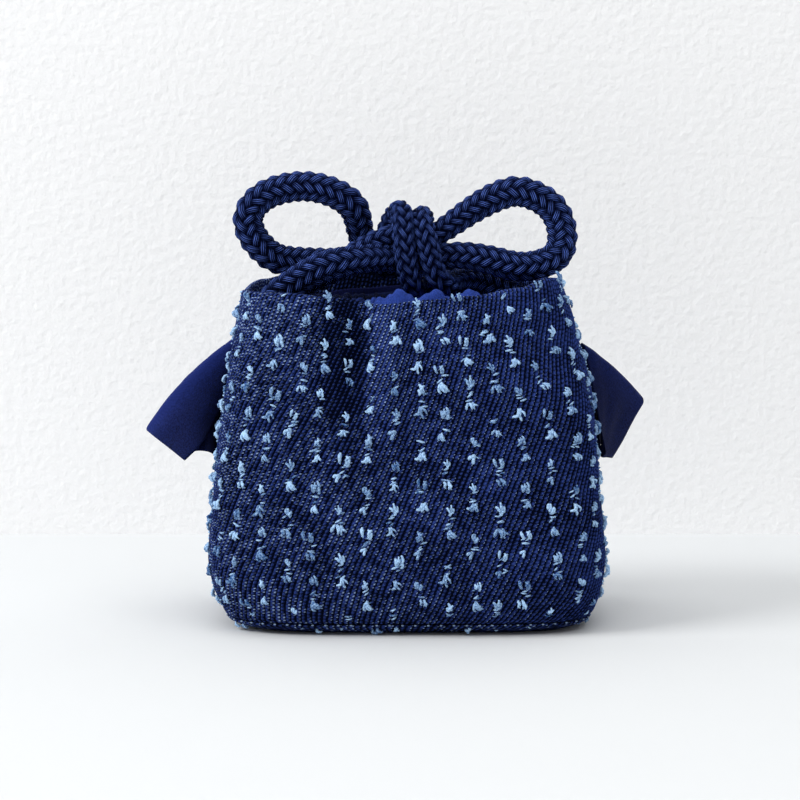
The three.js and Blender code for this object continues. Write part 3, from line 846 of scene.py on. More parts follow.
def plain_woven_cotton(name, dye):
    """Plain-woven dyed cotton: a fine even weave with a dull, slightly uneven surface."""
    material, tree, shader = new_material(name, 0.85, 0.02)
    cloth = add(tree, "ShaderNodeAttribute", attribute_name="cloth")
    place = add(tree, "ShaderNodeSeparateXYZ", {0: cloth.outputs["Vector"]})
    # the threads are about 0.25 mm apart, which is too fine to show, so they are drawn 0.5 mm apart
    turns = 2 * math.pi / 0.5
    threads = []
    for axis in (0, 1):
        turn = add(tree, "ShaderNodeMath", {0: place.outputs[axis], 1: turns}, operation="MULTIPLY")
        threads.append(add(tree, "ShaderNodeMath", {0: turn}, operation="SINE"))
    weave = add(tree, "ShaderNodeMath", {0: threads[0], 1: threads[1]}, operation="MULTIPLY")
    patches = add(
        tree,
        "ShaderNodeTexNoise",
        {"Vector": cloth.outputs["Vector"], "Scale": 1.9, "Detail": 4.0, "Roughness": 0.75},
    )
    heather = add(tree, "ShaderNodeMath", {0: patches, 1: 2.0, 2: -0.55}, operation="MULTIPLY_ADD")
    level = add(tree, "ShaderNodeMath", {0: weave, 1: 0.16, 2: heather}, operation="MULTIPLY_ADD")
    # the third place of the cloth's coordinates is painted shade where above 0, such as on the collar in the
    # tie's shadow, and a painted highlight where below 0, along a tab's fold
    painted_shading = add(tree, "ShaderNodeMath", {0: level, 1: place.outputs[2]}, operation="SUBTRACT")
    dark = tuple(c * 0.12 for c in dye)
    light = tuple(min(1.0, c * 1.7) for c in dye)
    colour = add(tree, "ShaderNodeMix", {"Factor": painted_shading, 6: (*dark, 1), 7: (*light, 1)}, data_type="RGBA")
    tree.links.new(colour.outputs[2], shader.inputs["Base Color"])
    bump = add(tree, "ShaderNodeBump", {"Height": weave, "Distance": 0.00006})
    tree.links.new(bump.outputs["Normal"], shader.inputs["Normal"])
    return material


def braided_cotton_cord(colours):
    """Braided cotton cord: parallel yarns in each strand, with painted highlights along their tops and
    painted shade between them.
    """
    material, tree, shader = new_material("braided cotton cord", 0.7)
    shader.inputs["Specular IOR Level"].default_value = 0.02
    across = add(tree, "ShaderNodeAttribute", attribute_name="across")
    lift = add(tree, "ShaderNodeAttribute", attribute_name="lift")
    along = add(tree, "ShaderNodeAttribute", attribute_name="along")
    strand = add(tree, "ShaderNodeAttribute", attribute_name="strand")
    # four yarns lie side by side in a strand
    turn = add(tree, "ShaderNodeMath", {0: across.outputs["Fac"], 1: 4 * math.pi}, operation="MULTIPLY")
    yarns = add(tree, "ShaderNodeMath", {0: turn}, operation="COSINE")
    yarn = add(tree, "ShaderNodeMath", {0: across.outputs["Fac"], 1: 2.0}, operation="MULTIPLY")
    yarn_number = add(tree, "ShaderNodeMath", {0: yarn}, operation="ROUND")
    stretch = add(tree, "ShaderNodeMath", {0: along.outputs["Fac"], 1: 0.4}, operation="MULTIPLY")
    spot = add(tree, "ShaderNodeCombineXYZ", {0: stretch, 1: strand.outputs["Fac"], 2: yarn_number})
    uneven = add(tree, "ShaderNodeTexNoise", {"Vector": spot, "Scale": 1.0, "Detail": 2.0})
    # painted shade: a strand is painted dark where it dips under the others, and bright where it lies on top
    painted_strand_shading = add(
        tree,
        "ShaderNodeMapRange",
        {"Value": lift.outputs["Fac"], "From Min": -0.2, "From Max": 0.9},
    )
    lined = add(tree, "ShaderNodeMath", {0: yarns, 1: 0.42, 2: uneven}, operation="MULTIPLY_ADD")
    level = add(tree, "ShaderNodeMath", {0: lined, 1: painted_strand_shading.outputs["Result"]}, operation="MULTIPLY")
    bright = add(tree, "ShaderNodeMath", {0: level, 1: 2.0}, operation="POWER")
    # the light colour is a painted highlight, far brighter than the cord's own dye
    dark = tuple(c * 0.14 for c in colours.cord)
    light = tuple(min(1.0, c * 8 + 0.09) for c in colours.cord)
    colour = add(tree, "ShaderNodeMix", {"Factor": bright, 6: (*dark, 1), 7: (*light, 1)}, data_type="RGBA")
    tree.links.new(colour.outputs[2], shader.inputs["Base Color"])
    bump = add(tree, "ShaderNodeBump", {"Height": yarns, "Distance": 0.0004})
    tree.links.new(bump.outputs["Normal"], shader.inputs["Normal"])
    return material


def sewing_thread(colours):
    """Spun polyester sewing thread: smooth, twisted and slightly glossy."""
    material, tree, shader = new_material("spun sewing thread", 0.5)
    place = add(tree, "ShaderNodeTexCoord")
    twist = add(tree, "ShaderNodeTexNoise", {"Vector": place.outputs["Object"], "Scale": 900.0})
    dark = tuple(c * 0.5 for c in colours.thread)
    colour = add(
        tree,
        "ShaderNodeMix",
        {"Factor": twist, 6: (*dark, 1), 7: (*colours.thread, 1)},
        data_type="RGBA",
    )
    tree.links.new(colour.outputs[2], shader.inputs["Base Color"])
    bump = add(tree, "ShaderNodeBump", {"Height": twist, "Distance": 0.0001})
    tree.links.new(bump.outputs["Normal"], shader.inputs["Normal"])
    return material


def studio_board(name, hex_colour, grain, depth):
    """Matt studio board: near white, with a fine tooth of about `grain` metres."""
    material, tree, shader = new_material(name, 0.95)
    shader.inputs["Base Color"].default_value = (*linear(hex_colour), 1)
    place = add(tree, "ShaderNodeTexCoord")
    tooth = add(
        tree,
        "ShaderNodeTexNoise",
        {"Vector": place.outputs["Object"], "Scale": 1 / grain, "Detail": 2.0},
    )
    bump = add(tree, "ShaderNodeBump", {"Height": tooth, "Distance": depth})
    tree.links.new(bump.outputs["Normal"], shader.inputs["Normal"])
    return material, tree, shader


# ---------------------------------------------------------------- stage

EYE = (0.0009, -0.5335, 0.1053)
LOOK_DOWN = math.radians(5.2)
LENS_MM = 91.85
WALL_Y = 0.135
# Each light's place in metres, its size in metres and its power in watts.
LIGHTS = {"key": ((-1.7, -0.72, 1.45), 1.0, 33.0), "overhead": ((0.1, -0.4, 1.3), 1.3, 9.2)}
LIGHTS_AIM = (0, 0, 0.05)
FILL = 0.37  # the strength of the even light from all round


class POUCH_OT_stage(bpy.types.Operator):
    """Add the camera, the pale floor and the studio lights"""

    bl_idname = "pouch.stage"
    bl_label = "Stage"

    def execute(self, context):
        scene = context.scene
        camera = bpy.data.cameras.new("camera")
        camera.lens, camera.sensor_width = LENS_MM, 36
        camera.clip_start, camera.clip_end = 0.01, 20
        eye = bpy.data.objects.new("camera", camera)
        eye.location = EYE
        eye.rotation_euler = (math.pi / 2 - LOOK_DOWN, 0, 0)
        scene.collection.objects.link(eye)
        scene.camera = eye

        half, high, back = 4000.0, 1200.0, WALL_Y / MM
        floor = mesh_piece(
            "floor",
            [(-half, -half, 0), (half, -half, 0), (half, half, 0), (-half, half, 0)],
            [(0, 1, 2, 3)],
            studio_board("matt studio table", "#dcdedf", 0.0008, 0.00003)[0],
        )
        board, tree, shader = studio_board("pebbled studio board", "#fdfdfd", 0.0026, 0.0004)
        # the board has one side, so that the pouch can be looked at from behind it
        one_side = add(
            tree,
            "ShaderNodeMixShader",
            {
                0: add(tree, "ShaderNodeNewGeometry").outputs["Backfacing"],
                1: shader,
                2: add(tree, "ShaderNodeBsdfTransparent"),
            },
        )
        tree.links.new(one_side.outputs[0], tree.nodes["Material Output"].inputs[0])
        wall = mesh_piece(
            "wall",
            [(-half, back, -1), (half, back, -1), (half, back, high), (-half, back, high)],
            [(0, 1, 2, 3)],
            board,
        )

        for name, (place, size, power) in LIGHTS.items():
            self.light(scene, name, place, size, power)

        world = bpy.data.worlds.new("studio")
        world.use_nodes = True
        tree = world.node_tree
        tree.nodes.clear()
        ray = add(tree, "ShaderNodeLightPath")
        seen = add(tree, "ShaderNodeBackground", {"Color": (*linear("#f3f6f7"), 1), "Strength": 1.0})
        lit = add(tree, "ShaderNodeBackground", {"Color": (*linear("#f5f6f8"), 1), "Strength": FILL})
        both = add(tree, "ShaderNodeMixShader", {0: ray.outputs["Is Camera Ray"], 1: lit, 2: seen})
        add(tree, "ShaderNodeOutputWorld", {0: both})
        scene.world = world
        scene.view_settings.view_transform = "Standard"
        return {"FINISHED"}

    def light(self, scene, name, place, size, power):
        """A square soft box that faces the pouch, and isn't seen itself."""
        lamp = bpy.data.lights.new(name, "AREA")
        lamp.size, lamp.energy = size, power
        box = bpy.data.objects.new(name, lamp)
        box.location = place
        towards = np.array(LIGHTS_AIM) - np.array(place)
        heading = math.atan2(towards[1], towards[0])
        drop = math.atan2(-towards[2], math.hypot(towards[0], towards[1]))
        box.rotation_euler = (math.pi / 2 - drop, 0, heading - math.pi / 2)
        box.visible_camera = False
        scene.collection.objects.link(box)


# ---------------------------------------------------------------- drawstring

FULL_RADIUS = 4.0  # where the route's radius is this, the cord has its full thickness
# The braid's proportions at that radius, in mm.
BRAID = {"Core radius": 2.95, "Weave height": 0.52, "Strand width": 1.96, "Strand thickness": 1.3}


def smooth_route():
    """The cord's centreline and its share of full thickness, finely spaced where the cord shows."""
    control = np.array(CORD_ROUTE, float)
    fine = through(control, 12)
    kernel = np.exp(-((np.arange(-8, 9) / 4.0) ** 2))
    padded = np.concatenate([fine[:1].repeat(8, 0), fine, fine[-1:].repeat(8, 0)])
    fine = np.stack([np.convolve(padded[:, k], kernel / kernel.sum(), "valid") for k in range(4)], 1)
    fine[0], fine[-1] = control[0], control[-1]
    length = np.concatenate([[0], np.cumsum(np.linalg.norm(np.diff(fine[:, :3], axis=0), axis=1))])
    hidden = (fine[:, 2] < 77.6) & (np.abs(fine[:, 0] - TUNNEL["x"]) < 24)
    step = np.where(hidden, 2.6, 0.68)
    share = np.concatenate([[0], np.cumsum(np.diff(length) / ((step[1:] + step[:-1]) / 2))])
    wanted = np.linspace(0, share[-1], int(round(share[-1])) + 1)
    at = np.interp(wanted, share, length)
    line = np.stack([np.interp(at, length, fine[:, k]) for k in range(4)], 1)
    in_front_tunnel = (line[:, 1] < -8) & (line[:, 2] < 82)
    line[:, 1] += np.where(in_front_tunnel, pleat_push(line[:, 0]), 0)
    # where the tie pinches it, the real cord flattens more than it narrows
    return line[:, :3], (line[:, 3] / FULL_RADIUS) ** 0.75, at


def carried_frame(line):
    """Two directions across a line at each point, carried along it without twist."""
    tangents = np.gradient(line, axis=0)
    tangents /= np.linalg.norm(tangents, axis=1, keepdims=True)
    upright = np.array([0.0, 0.0, 1.0])
    first, second = [], []
    for tangent in tangents:
        upright = upright - tangent * np.dot(upright, tangent)
        upright = upright / np.linalg.norm(upright)
        first.append(upright)
        second.append(np.cross(tangent, upright))
    return np.array(first), np.array(second)


def braid_tree():
    """Strands that wind round a line both ways, passing over two and under two of the others."""
    tree, given = geometry_tree(
        "braid",
        [
            ("Strands", "Int", 16),
            ("Lay", "Float", 22.5),
            *((part, "Float", size) for part, size in BRAID.items()),
            ("Material", "Material", None),
        ],
    )
    along, size, upward, sideways = (
        add(tree, "GeometryNodeInputNamedAttribute", {"Name": name}, data_type=kind)
        for kind, names in (("FLOAT", ("along", "size")), ("FLOAT_VECTOR", ("upward", "sideways")))
        for name in names
    )
    line = add(tree, "GeometryNodeMeshToCurve", {0: given["Geometry"]})
    copies = add(
        tree,
        "GeometryNodeDuplicateElements",
        {"Geometry": line, "Amount": given["Strands"]},
        domain="SPLINE",
    )
    number = copies.outputs["Duplicate Index"]
    halved = add(tree, "ShaderNodeMath", {0: number, 1: 0.5}, operation="MULTIPLY")
    pair = add(tree, "ShaderNodeMath", {0: halved}, operation="FLOOR")
    odd = add(tree, "ShaderNodeMath", {0: number, 1: 2.0}, operation="MODULO")
    way = add(tree, "ShaderNodeMath", {0: odd, 1: 2.0, 2: -1.0}, operation="MULTIPLY_ADD")
    laps = add(tree, "ShaderNodeMath", {0: along, 1: given["Lay"]}, operation="DIVIDE")
    onward = add(tree, "ShaderNodeMath", {0: laps, 1: way}, operation="MULTIPLY")
    pairs = add(tree, "ShaderNodeMath", {0: given["Strands"], 1: 0.5}, operation="MULTIPLY")
    start = add(tree, "ShaderNodeMath", {0: pair, 1: pairs}, operation="DIVIDE")
    turns = add(tree, "ShaderNodeMath", {0: onward, 1: start}, operation="ADD")
    angle = add(tree, "ShaderNodeMath", {0: turns, 1: 2 * math.pi}, operation="MULTIPLY")
    # four columns of floats go one way round and four the other
    float_angle = add(tree, "ShaderNodeMath", {0: angle, 1: 4.0, 2: math.pi / 4}, operation="MULTIPLY_ADD")
    wave = add(tree, "ShaderNodeMath", {0: float_angle}, operation="SINE")
    lift = add(tree, "ShaderNodeMath", {0: wave, 1: way}, operation="MULTIPLY")
    cosine = add(tree, "ShaderNodeMath", {0: angle}, operation="COSINE")
    sine = add(tree, "ShaderNodeMath", {0: angle}, operation="SINE")
    up_part = add(tree, "ShaderNodeVectorMath", {0: upward, "Scale": cosine}, operation="SCALE")
    side_part = add(tree, "ShaderNodeVectorMath", {0: sideways, "Scale": sine}, operation="SCALE")
    radial = add(tree, "ShaderNodeVectorMath", {0: up_part, 1: side_part}, operation="ADD")
    reach = add(
        tree,
        "ShaderNodeMath",
        {0: lift, 1: given["Weave height"], 2: given["Core radius"]},
        operation="MULTIPLY_ADD",
    )
    sized = add(tree, "ShaderNodeMath", {0: reach, 1: size}, operation="MULTIPLY")
    metres = add(tree, "ShaderNodeMath", {0: sized, 1: MM}, operation="MULTIPLY")
    offset = add(tree, "ShaderNodeVectorMath", {0: radial, "Scale": metres}, operation="SCALE")
    kept = copies.outputs["Geometry"]
    for name, kind, value in (
        ("radial", "FLOAT_VECTOR", radial),
        ("lift", "FLOAT", lift),
        ("strand", "FLOAT", number),
    ):
        kept = add(
            tree,
            "GeometryNodeStoreNamedAttribute",
            {"Geometry": kept, "Name": name, "Value": value},
            data_type=kind,
            domain="POINT",
        )
    moved = add(tree, "GeometryNodeSetPosition", {"Geometry": kept, "Offset": offset})
    outward = add(tree, "GeometryNodeInputNamedAttribute", {"Name": "radial"}, data_type="FLOAT_VECTOR")
    faced = add(tree, "GeometryNodeSetCurveNormal", {"Curve": moved, "Normal": outward}, mode="FREE")
    # a strand's section is a flat oval, its width across the cord
    circle = add(tree, "GeometryNodeCurvePrimitiveCircle", {"Resolution": 6, "Radius": 0.5 * MM})
    size_xyz = add(
        tree,
        "ShaderNodeCombineXYZ",
        {0: given["Strand thickness"], 1: given["Strand width"], 2: 1.0},
    )
    place = add(tree, "GeometryNodeInputPosition")
    flattened = add(tree, "ShaderNodeVectorMath", {0: place, 1: size_xyz}, operation="MULTIPLY")
    oval = add(tree, "GeometryNodeSetPosition", {"Geometry": circle, "Position": flattened})
    parts = add(tree, "ShaderNodeSeparateXYZ", {0: place})
    half_width = add(tree, "ShaderNodeMath", {0: given["Strand width"], 1: 0.5 * MM}, operation="MULTIPLY")
    across = add(tree, "ShaderNodeMath", {0: parts.outputs[1], 1: half_width}, operation="DIVIDE")
    profile = add(
        tree,
        "GeometryNodeStoreNamedAttribute",
        {"Geometry": oval, "Name": "across", "Value": across},
        data_type="FLOAT",
        domain="POINT",
    )
    tube = add(
        tree,
        "GeometryNodeCurveToMesh",
        {"Curve": faced, "Profile Curve": profile, "Scale": size, "Fill Caps": True},
    )
    close_tree(tree, tube, given["Material"])
    return tree


class POUCH_OT_drawstring(bpy.types.Operator):
    """Braid the cord along its route through the tunnel and the tie"""

    bl_idname = "pouch.drawstring"
    bl_label = "Drawstring"

    def execute(self, context):
        sizes, colours = context.scene.pouch_sizes, context.scene.pouch_colours
        line, share, along = smooth_route()
        upward, sideways = carried_frame(line)
        scale = sizes.cord / MM / (2 * FULL_RADIUS)
        cord = mesh_piece(
            "cord_braid",
            line,
            [],
            edges=guide_line(line),
            along=along,
            size=share * scale,
            upward=upward,
            sideways=sideways,
        )
        grown(
            cord,
            braid_tree(),
            {
                "Strands": sizes.strands,
                "Lay": sizes.cord_lay / MM,
                **BRAID,
                "Material": braided_cotton_cord(colours),
            },
        )
        finish_piece(cord, "cord", "drawstring")
        return {"FINISHED"}


# ---------------------------------------------------------------- denim walls


POINTS_IN_RIDGE = 5  # columns of points from one twill ridge to the next


def wall_section(side, sizes):
    """A denim wall's closed section: up the ridged outside, over the rolled rim and down the inside."""
    step = sizes.twill / MM / POINTS_IN_RIDGE
    rise = step * math.tan(sizes.twill_rise)
    thickness = sizes.denim / MM
    u = np.linspace(0, HALF_GIRTH[side], int(round(HALF_GIRTH[side] / step)) + 1)
    up = np.arange(0, CLOTH_HEIGHT - 0.5, rise)
    turn = np.linspace(0, math.pi, 8)[1:-1]
    top = up[-1]
    down = np.linspace(top, 0, 10)
    v = np.concatenate([up, top + thickness / 2 * np.sin(turn), down])
    depth = np.concatenate([0 * up, thickness / 2 * (1 - np.cos(turn)), 0 * down + thickness])
    cloth_v = np.concatenate([up, top + thickness / 2 * turn, top + top - down + thickness])
    ridged = np.concatenate([np.ones_like(up), np.linspace(1, 0, len(turn)), 0 * down])
    grid_u, grid_v = np.meshgrid(u, v)
    weave_u = grid_u if side == "front" else HALF_GIRTH[side] - grid_u
    phase = (weave_u - cloth_v[:, None] / math.tan(sizes.twill_rise)) / (sizes.twill / MM)
    ridge = -np.cos(2 * math.pi * phase) * sizes.ridge / MM * ridged[:, None]
    grid = cloth_point(side, grid_u, grid_v, depth[:, None] - ridge, sizes.seed)
    # the third place of the cloth's coordinates carries painted light and shade, and on the back a paler
    # corner
    if side == "front":
        painted_light_and_tone = pleat_painted_light(grid[..., 0], grid[..., 2])
    else:
        # its hem is paler at the left corner, and elsewhere painted darker, a painted shade under the cord
        corner = 1 - smoothstep(grid[..., 0], -36, -31)
        painted_light_and_tone = (2 * corner - 0.9) * smoothstep(grid_v, CLOTH_HEIGHT - 9, CLOTH_HEIGHT - 4)
    cloth = np.stack([weave_u, cloth_v[:, None] + 0 * grid_u, painted_light_and_tone], -1)
    return grid, cloth


class POUCH_OT_walls(bpy.types.Operator):
    """Sew the front and back walls of ridged denim"""

    bl_idname = "pouch.walls"
    bl_label = "Denim walls"

    def execute(self, context):
        sizes, colours = context.scene.pouch_sizes, context.scene.pouch_colours
        denim = indigo_cotton_twill(sizes, colours)
        for side in NEAR:
            grid, cloth = wall_section(side, sizes)
            wall = swept_piece(f"{side}_denim", [grid], [cloth], denim)
            finish_piece(wall, "denim", f"{side}_panel")
        return {"FINISHED"}


def dish_piece(name, rings, cloth, material):
    """A closed dish from rings of points, from its lower middle round its edge to its upper middle."""
    count = len(rings[0])
    points = np.concatenate([*rings, [rings[0].mean(0)], [rings[-1].mean(0)]])
    places = np.concatenate([*cloth, [cloth[0].mean(0)], [cloth[-1].mean(0)]])
    low, high = len(rings) * count, len(rings) * count + 1
    top = (len(rings) - 1) * count
    faces = []
    for j in range(count):
        after = (j + 1) % count
        faces.append((low, after, j))
        faces.append((high, top + j, top + after))
        for i in range(len(rings) - 1):
            a, b = i * count, (i + 1) * count
            faces.append((a + j, a + after, b + after))
            faces.append((a + j, b + after, b + j))
    return mesh_piece(name, points, faces, material, cloth=places)


class POUCH_OT_base(bpy.types.Operator):
    """Shape the denim bottom panel"""

    bl_idname = "pouch.base"
    bl_label = "Bottom panel"

    def execute(self, context):
        sizes = context.scene.pouch_sizes
        thickness = sizes.denim / MM
        angle = np.linspace(0, 2 * math.pi, 421)[:-1]
        centre = np.array([BODY_LEVELS[0, 3], 0, 0])
        foot = plan_point(angle, 0.0, 0.0)
        steps = np.linalg.norm(np.diff(np.vstack([foot, foot[:1]]), axis=0), axis=1)
        round_foot = np.concatenate([[0], np.cumsum(steps)[:-1]])
        rings, cloth = [], []
        for share in (0.2, 0.5, 0.75, 0.9, 0.97):
            rings.append(centre + (foot - centre) * share)
            cloth.append(np.stack([rings[-1][:, 0], rings[-1][:, 1] - 40, 0 * angle], -1))
        top = BASE_Z - SEAM_GAP
        for z in (0.0, 0.25, 0.6, 1.0, 1.5, 2.0, 2.5):
            rings.append(plan_point(angle, z, 0.0))
            cloth.append(np.stack([round_foot, 0 * angle + z - 6, 0 * angle], -1))
        for z, inset in ((top, 0.25), (top, thickness), (thickness, thickness + 2.5)):
            ring = plan_point(angle, min(z, 2.8), inset)
            ring[:, 2] = z
            rings.append(ring)
            cloth.append(np.stack([round_foot, 0 * angle + z - 6 + inset, 0 * angle], -1))
        panel = dish_piece("base_denim", rings, cloth, bpy.data.materials["indigo cotton twill"])
        finish_piece(panel, "denim", "bottom_panel")
        return {"FINISHED"}


# ---------------------------------------------------------------- cut yarn ends


def ply(line, radius, sides):
    """Points and faces of one soft ply along a line, swelling in the middle and rounded at its ends."""
    line = np.asarray(line, float)
    first, second = carried_frame(line)
    share = np.linspace(0, 1, len(line))
    swell = radius * (0.4 + 0.6 * np.sin(math.pi * (share * 0.86 + 0.07)) ** 0.6)
    turn = np.arange(sides) / sides * 2 * math.pi
    rings = (
        line[:, None]
        + first[:, None] * (swell[:, None] * np.cos(turn))[..., None]
        + second[:, None] * (swell[:, None] * np.sin(turn))[..., None]
    )
    points = np.concatenate([rings.reshape(-1, 3), line[:1], line[-1:]])
    faces = []
    last = (len(line) - 1) * sides
    for j in range(sides):
        after = (j + 1) % sides
        faces.append((len(points) - 2, after, j))
        faces.append((len(points) - 1, last + j, last + after))
        for i in range(len(line) - 1):
            a, b = i * sides, (i + 1) * sides
            faces.append((a + j, a + after, b + after, b + j))
    return points, faces


def tuft_shape(draw, kind):
    """One cut yarn end: a few plies that part. x is level, y up the cloth and z out of it, in mm."""
    shapes = []
    if kind == "bar":
        half = draw.uniform(0.4, 0.95)
        rise = draw.uniform(-0.25, 0.35)
        line = [(-half, -rise, 0.0), (0, 0, 0.32), (half, rise, 0.0)]
        shapes.append(ply(line, draw.uniform(0.2, 0.32), 4))
    else:
        way = 1 if kind == "upper" else -1
        for _ in range(draw.integers(3, 6)):
            heading = draw.normal(0, 0.3 if kind == "upper" else 0.45)
            curl = draw.normal(0, 0.3)
            step = draw.uniform(0.26, 0.62)
            turns = heading + curl * (np.arange(5) - 1.5)
            steps = step * np.stack([np.sin(turns), np.cos(turns), 0 * turns], 1)
            foot = np.array([draw.normal(0, 0.45), draw.uniform(-0.6, 0.3), -0.25])
            line = np.concatenate([foot[None], foot + np.cumsum(steps, 0)])
            out = draw.uniform(0.8, 1.5)
            line[:, 2] += out * np.sin(np.linspace(0, 2.6, 6)) ** 0.7
            line[1:] += draw.normal(0, 0.12, (5, 3))
            line[:, 1] *= way
            lumps = draw.uniform(0.72, 1.25, 6)
            shapes.append(ply(line, draw.uniform(0.3, 0.52) * lumps, 6))
    points, faces = [], []
    for shape_points, shape_faces in shapes:
        first = sum(len(p) for p in points)
        points.append(shape_points)
        faces += [tuple(k + first for k in face) for face in shape_faces]
    return np.concatenate(points), faces


TUFT_KINDS = ["upper"] * 5 + ["lower"] * 6 + ["bar"] * 4
TUFT_SIZES = {"wall": (0.66, 1.02), "base": (0.5, 0.7)}  # how much they are shrunk or grown, by chance
TUFT_TURN = 0.3  # how far they lean to either side


def tuft_collection(seed):
    """The yarn ends to choose from, in an order that their names keep."""
    draw = np.random.default_rng(seed)
    shapes = bpy.data.collections.new("yarn ends")
    for k, kind in enumerate(TUFT_KINDS):
        points, faces = tuft_shape(draw, kind)
        end = mesh_piece(f"yarn_end_{k:02d}", points, faces)
        bpy.context.scene.collection.objects.unlink(end)
        shapes.objects.link(end)
    return shapes


def scatter_tree():
    """Stands a shape from a collection on each point, upright on the cloth and a little uneven."""
    tree, given = geometry_tree(
        "yarn ends",
        [
            ("Shapes", "Collection", None),
            ("Least size", "Float", TUFT_SIZES["wall"][0]),
            ("Most size", "Float", TUFT_SIZES["wall"][1]),
            ("Turn", "Float", TUFT_TURN),
            ("Seed", "Int", 0),
            ("Material", "Material", None),
        ],
    )
    shapes = add(
        tree,
        "GeometryNodeCollectionInfo",
        {"Collection": given["Shapes"], "Separate Children": True, "Reset Children": True},
    )
    choice, outward, upward = (
        add(tree, "GeometryNodeInputNamedAttribute", {"Name": name}, data_type=kind)
        for name, kind in (("choice", "INT"), ("outward", "FLOAT_VECTOR"), ("upward", "FLOAT_VECTOR"))
    )
    upright = add(
        tree,
        "FunctionNodeAxesToRotation",
        {"Primary Axis": outward, "Secondary Axis": upward},
        primary_axis="Z",
        secondary_axis="Y",
    )
    size = add(
        tree,
        "FunctionNodeRandomValue",
        {2: given["Least size"], 3: given["Most size"], "Seed": given["Seed"]},
        data_type="FLOAT",
    )
    back = add(tree, "ShaderNodeMath", {0: given["Turn"], 1: -1.0}, operation="MULTIPLY")
    later = add(tree, "ShaderNodeMath", {0: given["Seed"], 1: 1.0}, operation="ADD")
    twist = add(
        tree,
        "FunctionNodeRandomValue",
        {2: back, 3: given["Turn"], "Seed": later},
        data_type="FLOAT",
    )
    spin = add(tree, "ShaderNodeCombineXYZ", {2: twist.outputs[1]})
    spun = add(tree, "FunctionNodeEulerToRotation", {0: spin})
    turned = add(
        tree,
        "FunctionNodeRotateRotation",
        {"Rotation": upright, "Rotate By": spun},
        rotation_space="LOCAL",
    )
    stood = add(
        tree,
        "GeometryNodeInstanceOnPoints",
        {
            "Points": given["Geometry"],
            "Instance": shapes,
            "Pick Instance": True,
            "Instance Index": choice,
            "Rotation": turned,
            "Scale": size.outputs[1],
        },
    )
    last = add(tree, "ShaderNodeMath", {0: given["Seed"], 1: 2.0}, operation="ADD")
    dye = add(tree, "FunctionNodeRandomValue", {2: 0.0, 3: 1.0, "Seed": last}, data_type="FLOAT")
    shaded = add(
        tree,
        "GeometryNodeStoreNamedAttribute",
        {"Geometry": stood, "Name": "shade", "Value": dye.outputs[1]},
        data_type="FLOAT",
        domain="INSTANCE",
    )
    close_tree(tree, shaded, given["Material"])
    return tree


def size_range(where):
    """The scatter tree's two size inputs for the tufts on a wall or on the base."""
    return dict(zip(("Least size", "Most size"), TUFT_SIZES[where]))


def tuft_places(side, sizes, draw):
    """Places and kinds of the yarn ends on one wall: upright rows, every other one half a pitch up."""
    columns, pitch = sizes.tuft_columns / MM, sizes.tuft_pitch / MM
    places = []
    count = int(HALF_GIRTH[side] // columns)
    margin = (HALF_GIRTH[side] - (count - 1) * columns) / 2
    for column in range(count):
        u0 = margin + column * columns
        v0 = 2.0 + (column % 2) * pitch / 2
        while v0 < CLOTH_HEIGHT + 2:
            u = u0 + draw.normal(0, 0.35)
            v = v0 + draw.normal(0, 0.6)
            # from the top: nearly always an upper end, then three or four bars, then a lower end
            if draw.uniform() < 0.92:
                places.append((u + draw.normal(0, 0.3), v + draw.normal(1.9, 0.3), "upper"))
            for _ in range(draw.integers(3, 5)):
                places.append((u + draw.normal(0, 0.4), v + draw.uniform(-1.7, 2.1), "bar"))
            places.append((u + draw.normal(0, 0.3), v - draw.normal(1.5, 0.3), "lower"))
            v0 += pitch
    top = CLOTH_HEIGHT - (0.6 if side == "front" else 3)
    return [p for p in places if 1.5 < p[1] < top and 0.8 < p[0] < HALF_GIRTH[side] - 0.8]


def ways_on(surface, u, v, step_u, step_v):
    """The level way and the upward way on a surface at some places, from points a step to either side."""
    return (
        surface(u + step_u, v) - surface(u - step_u, v),
        surface(u, v + step_v) - surface(u, v - step_v),
    )


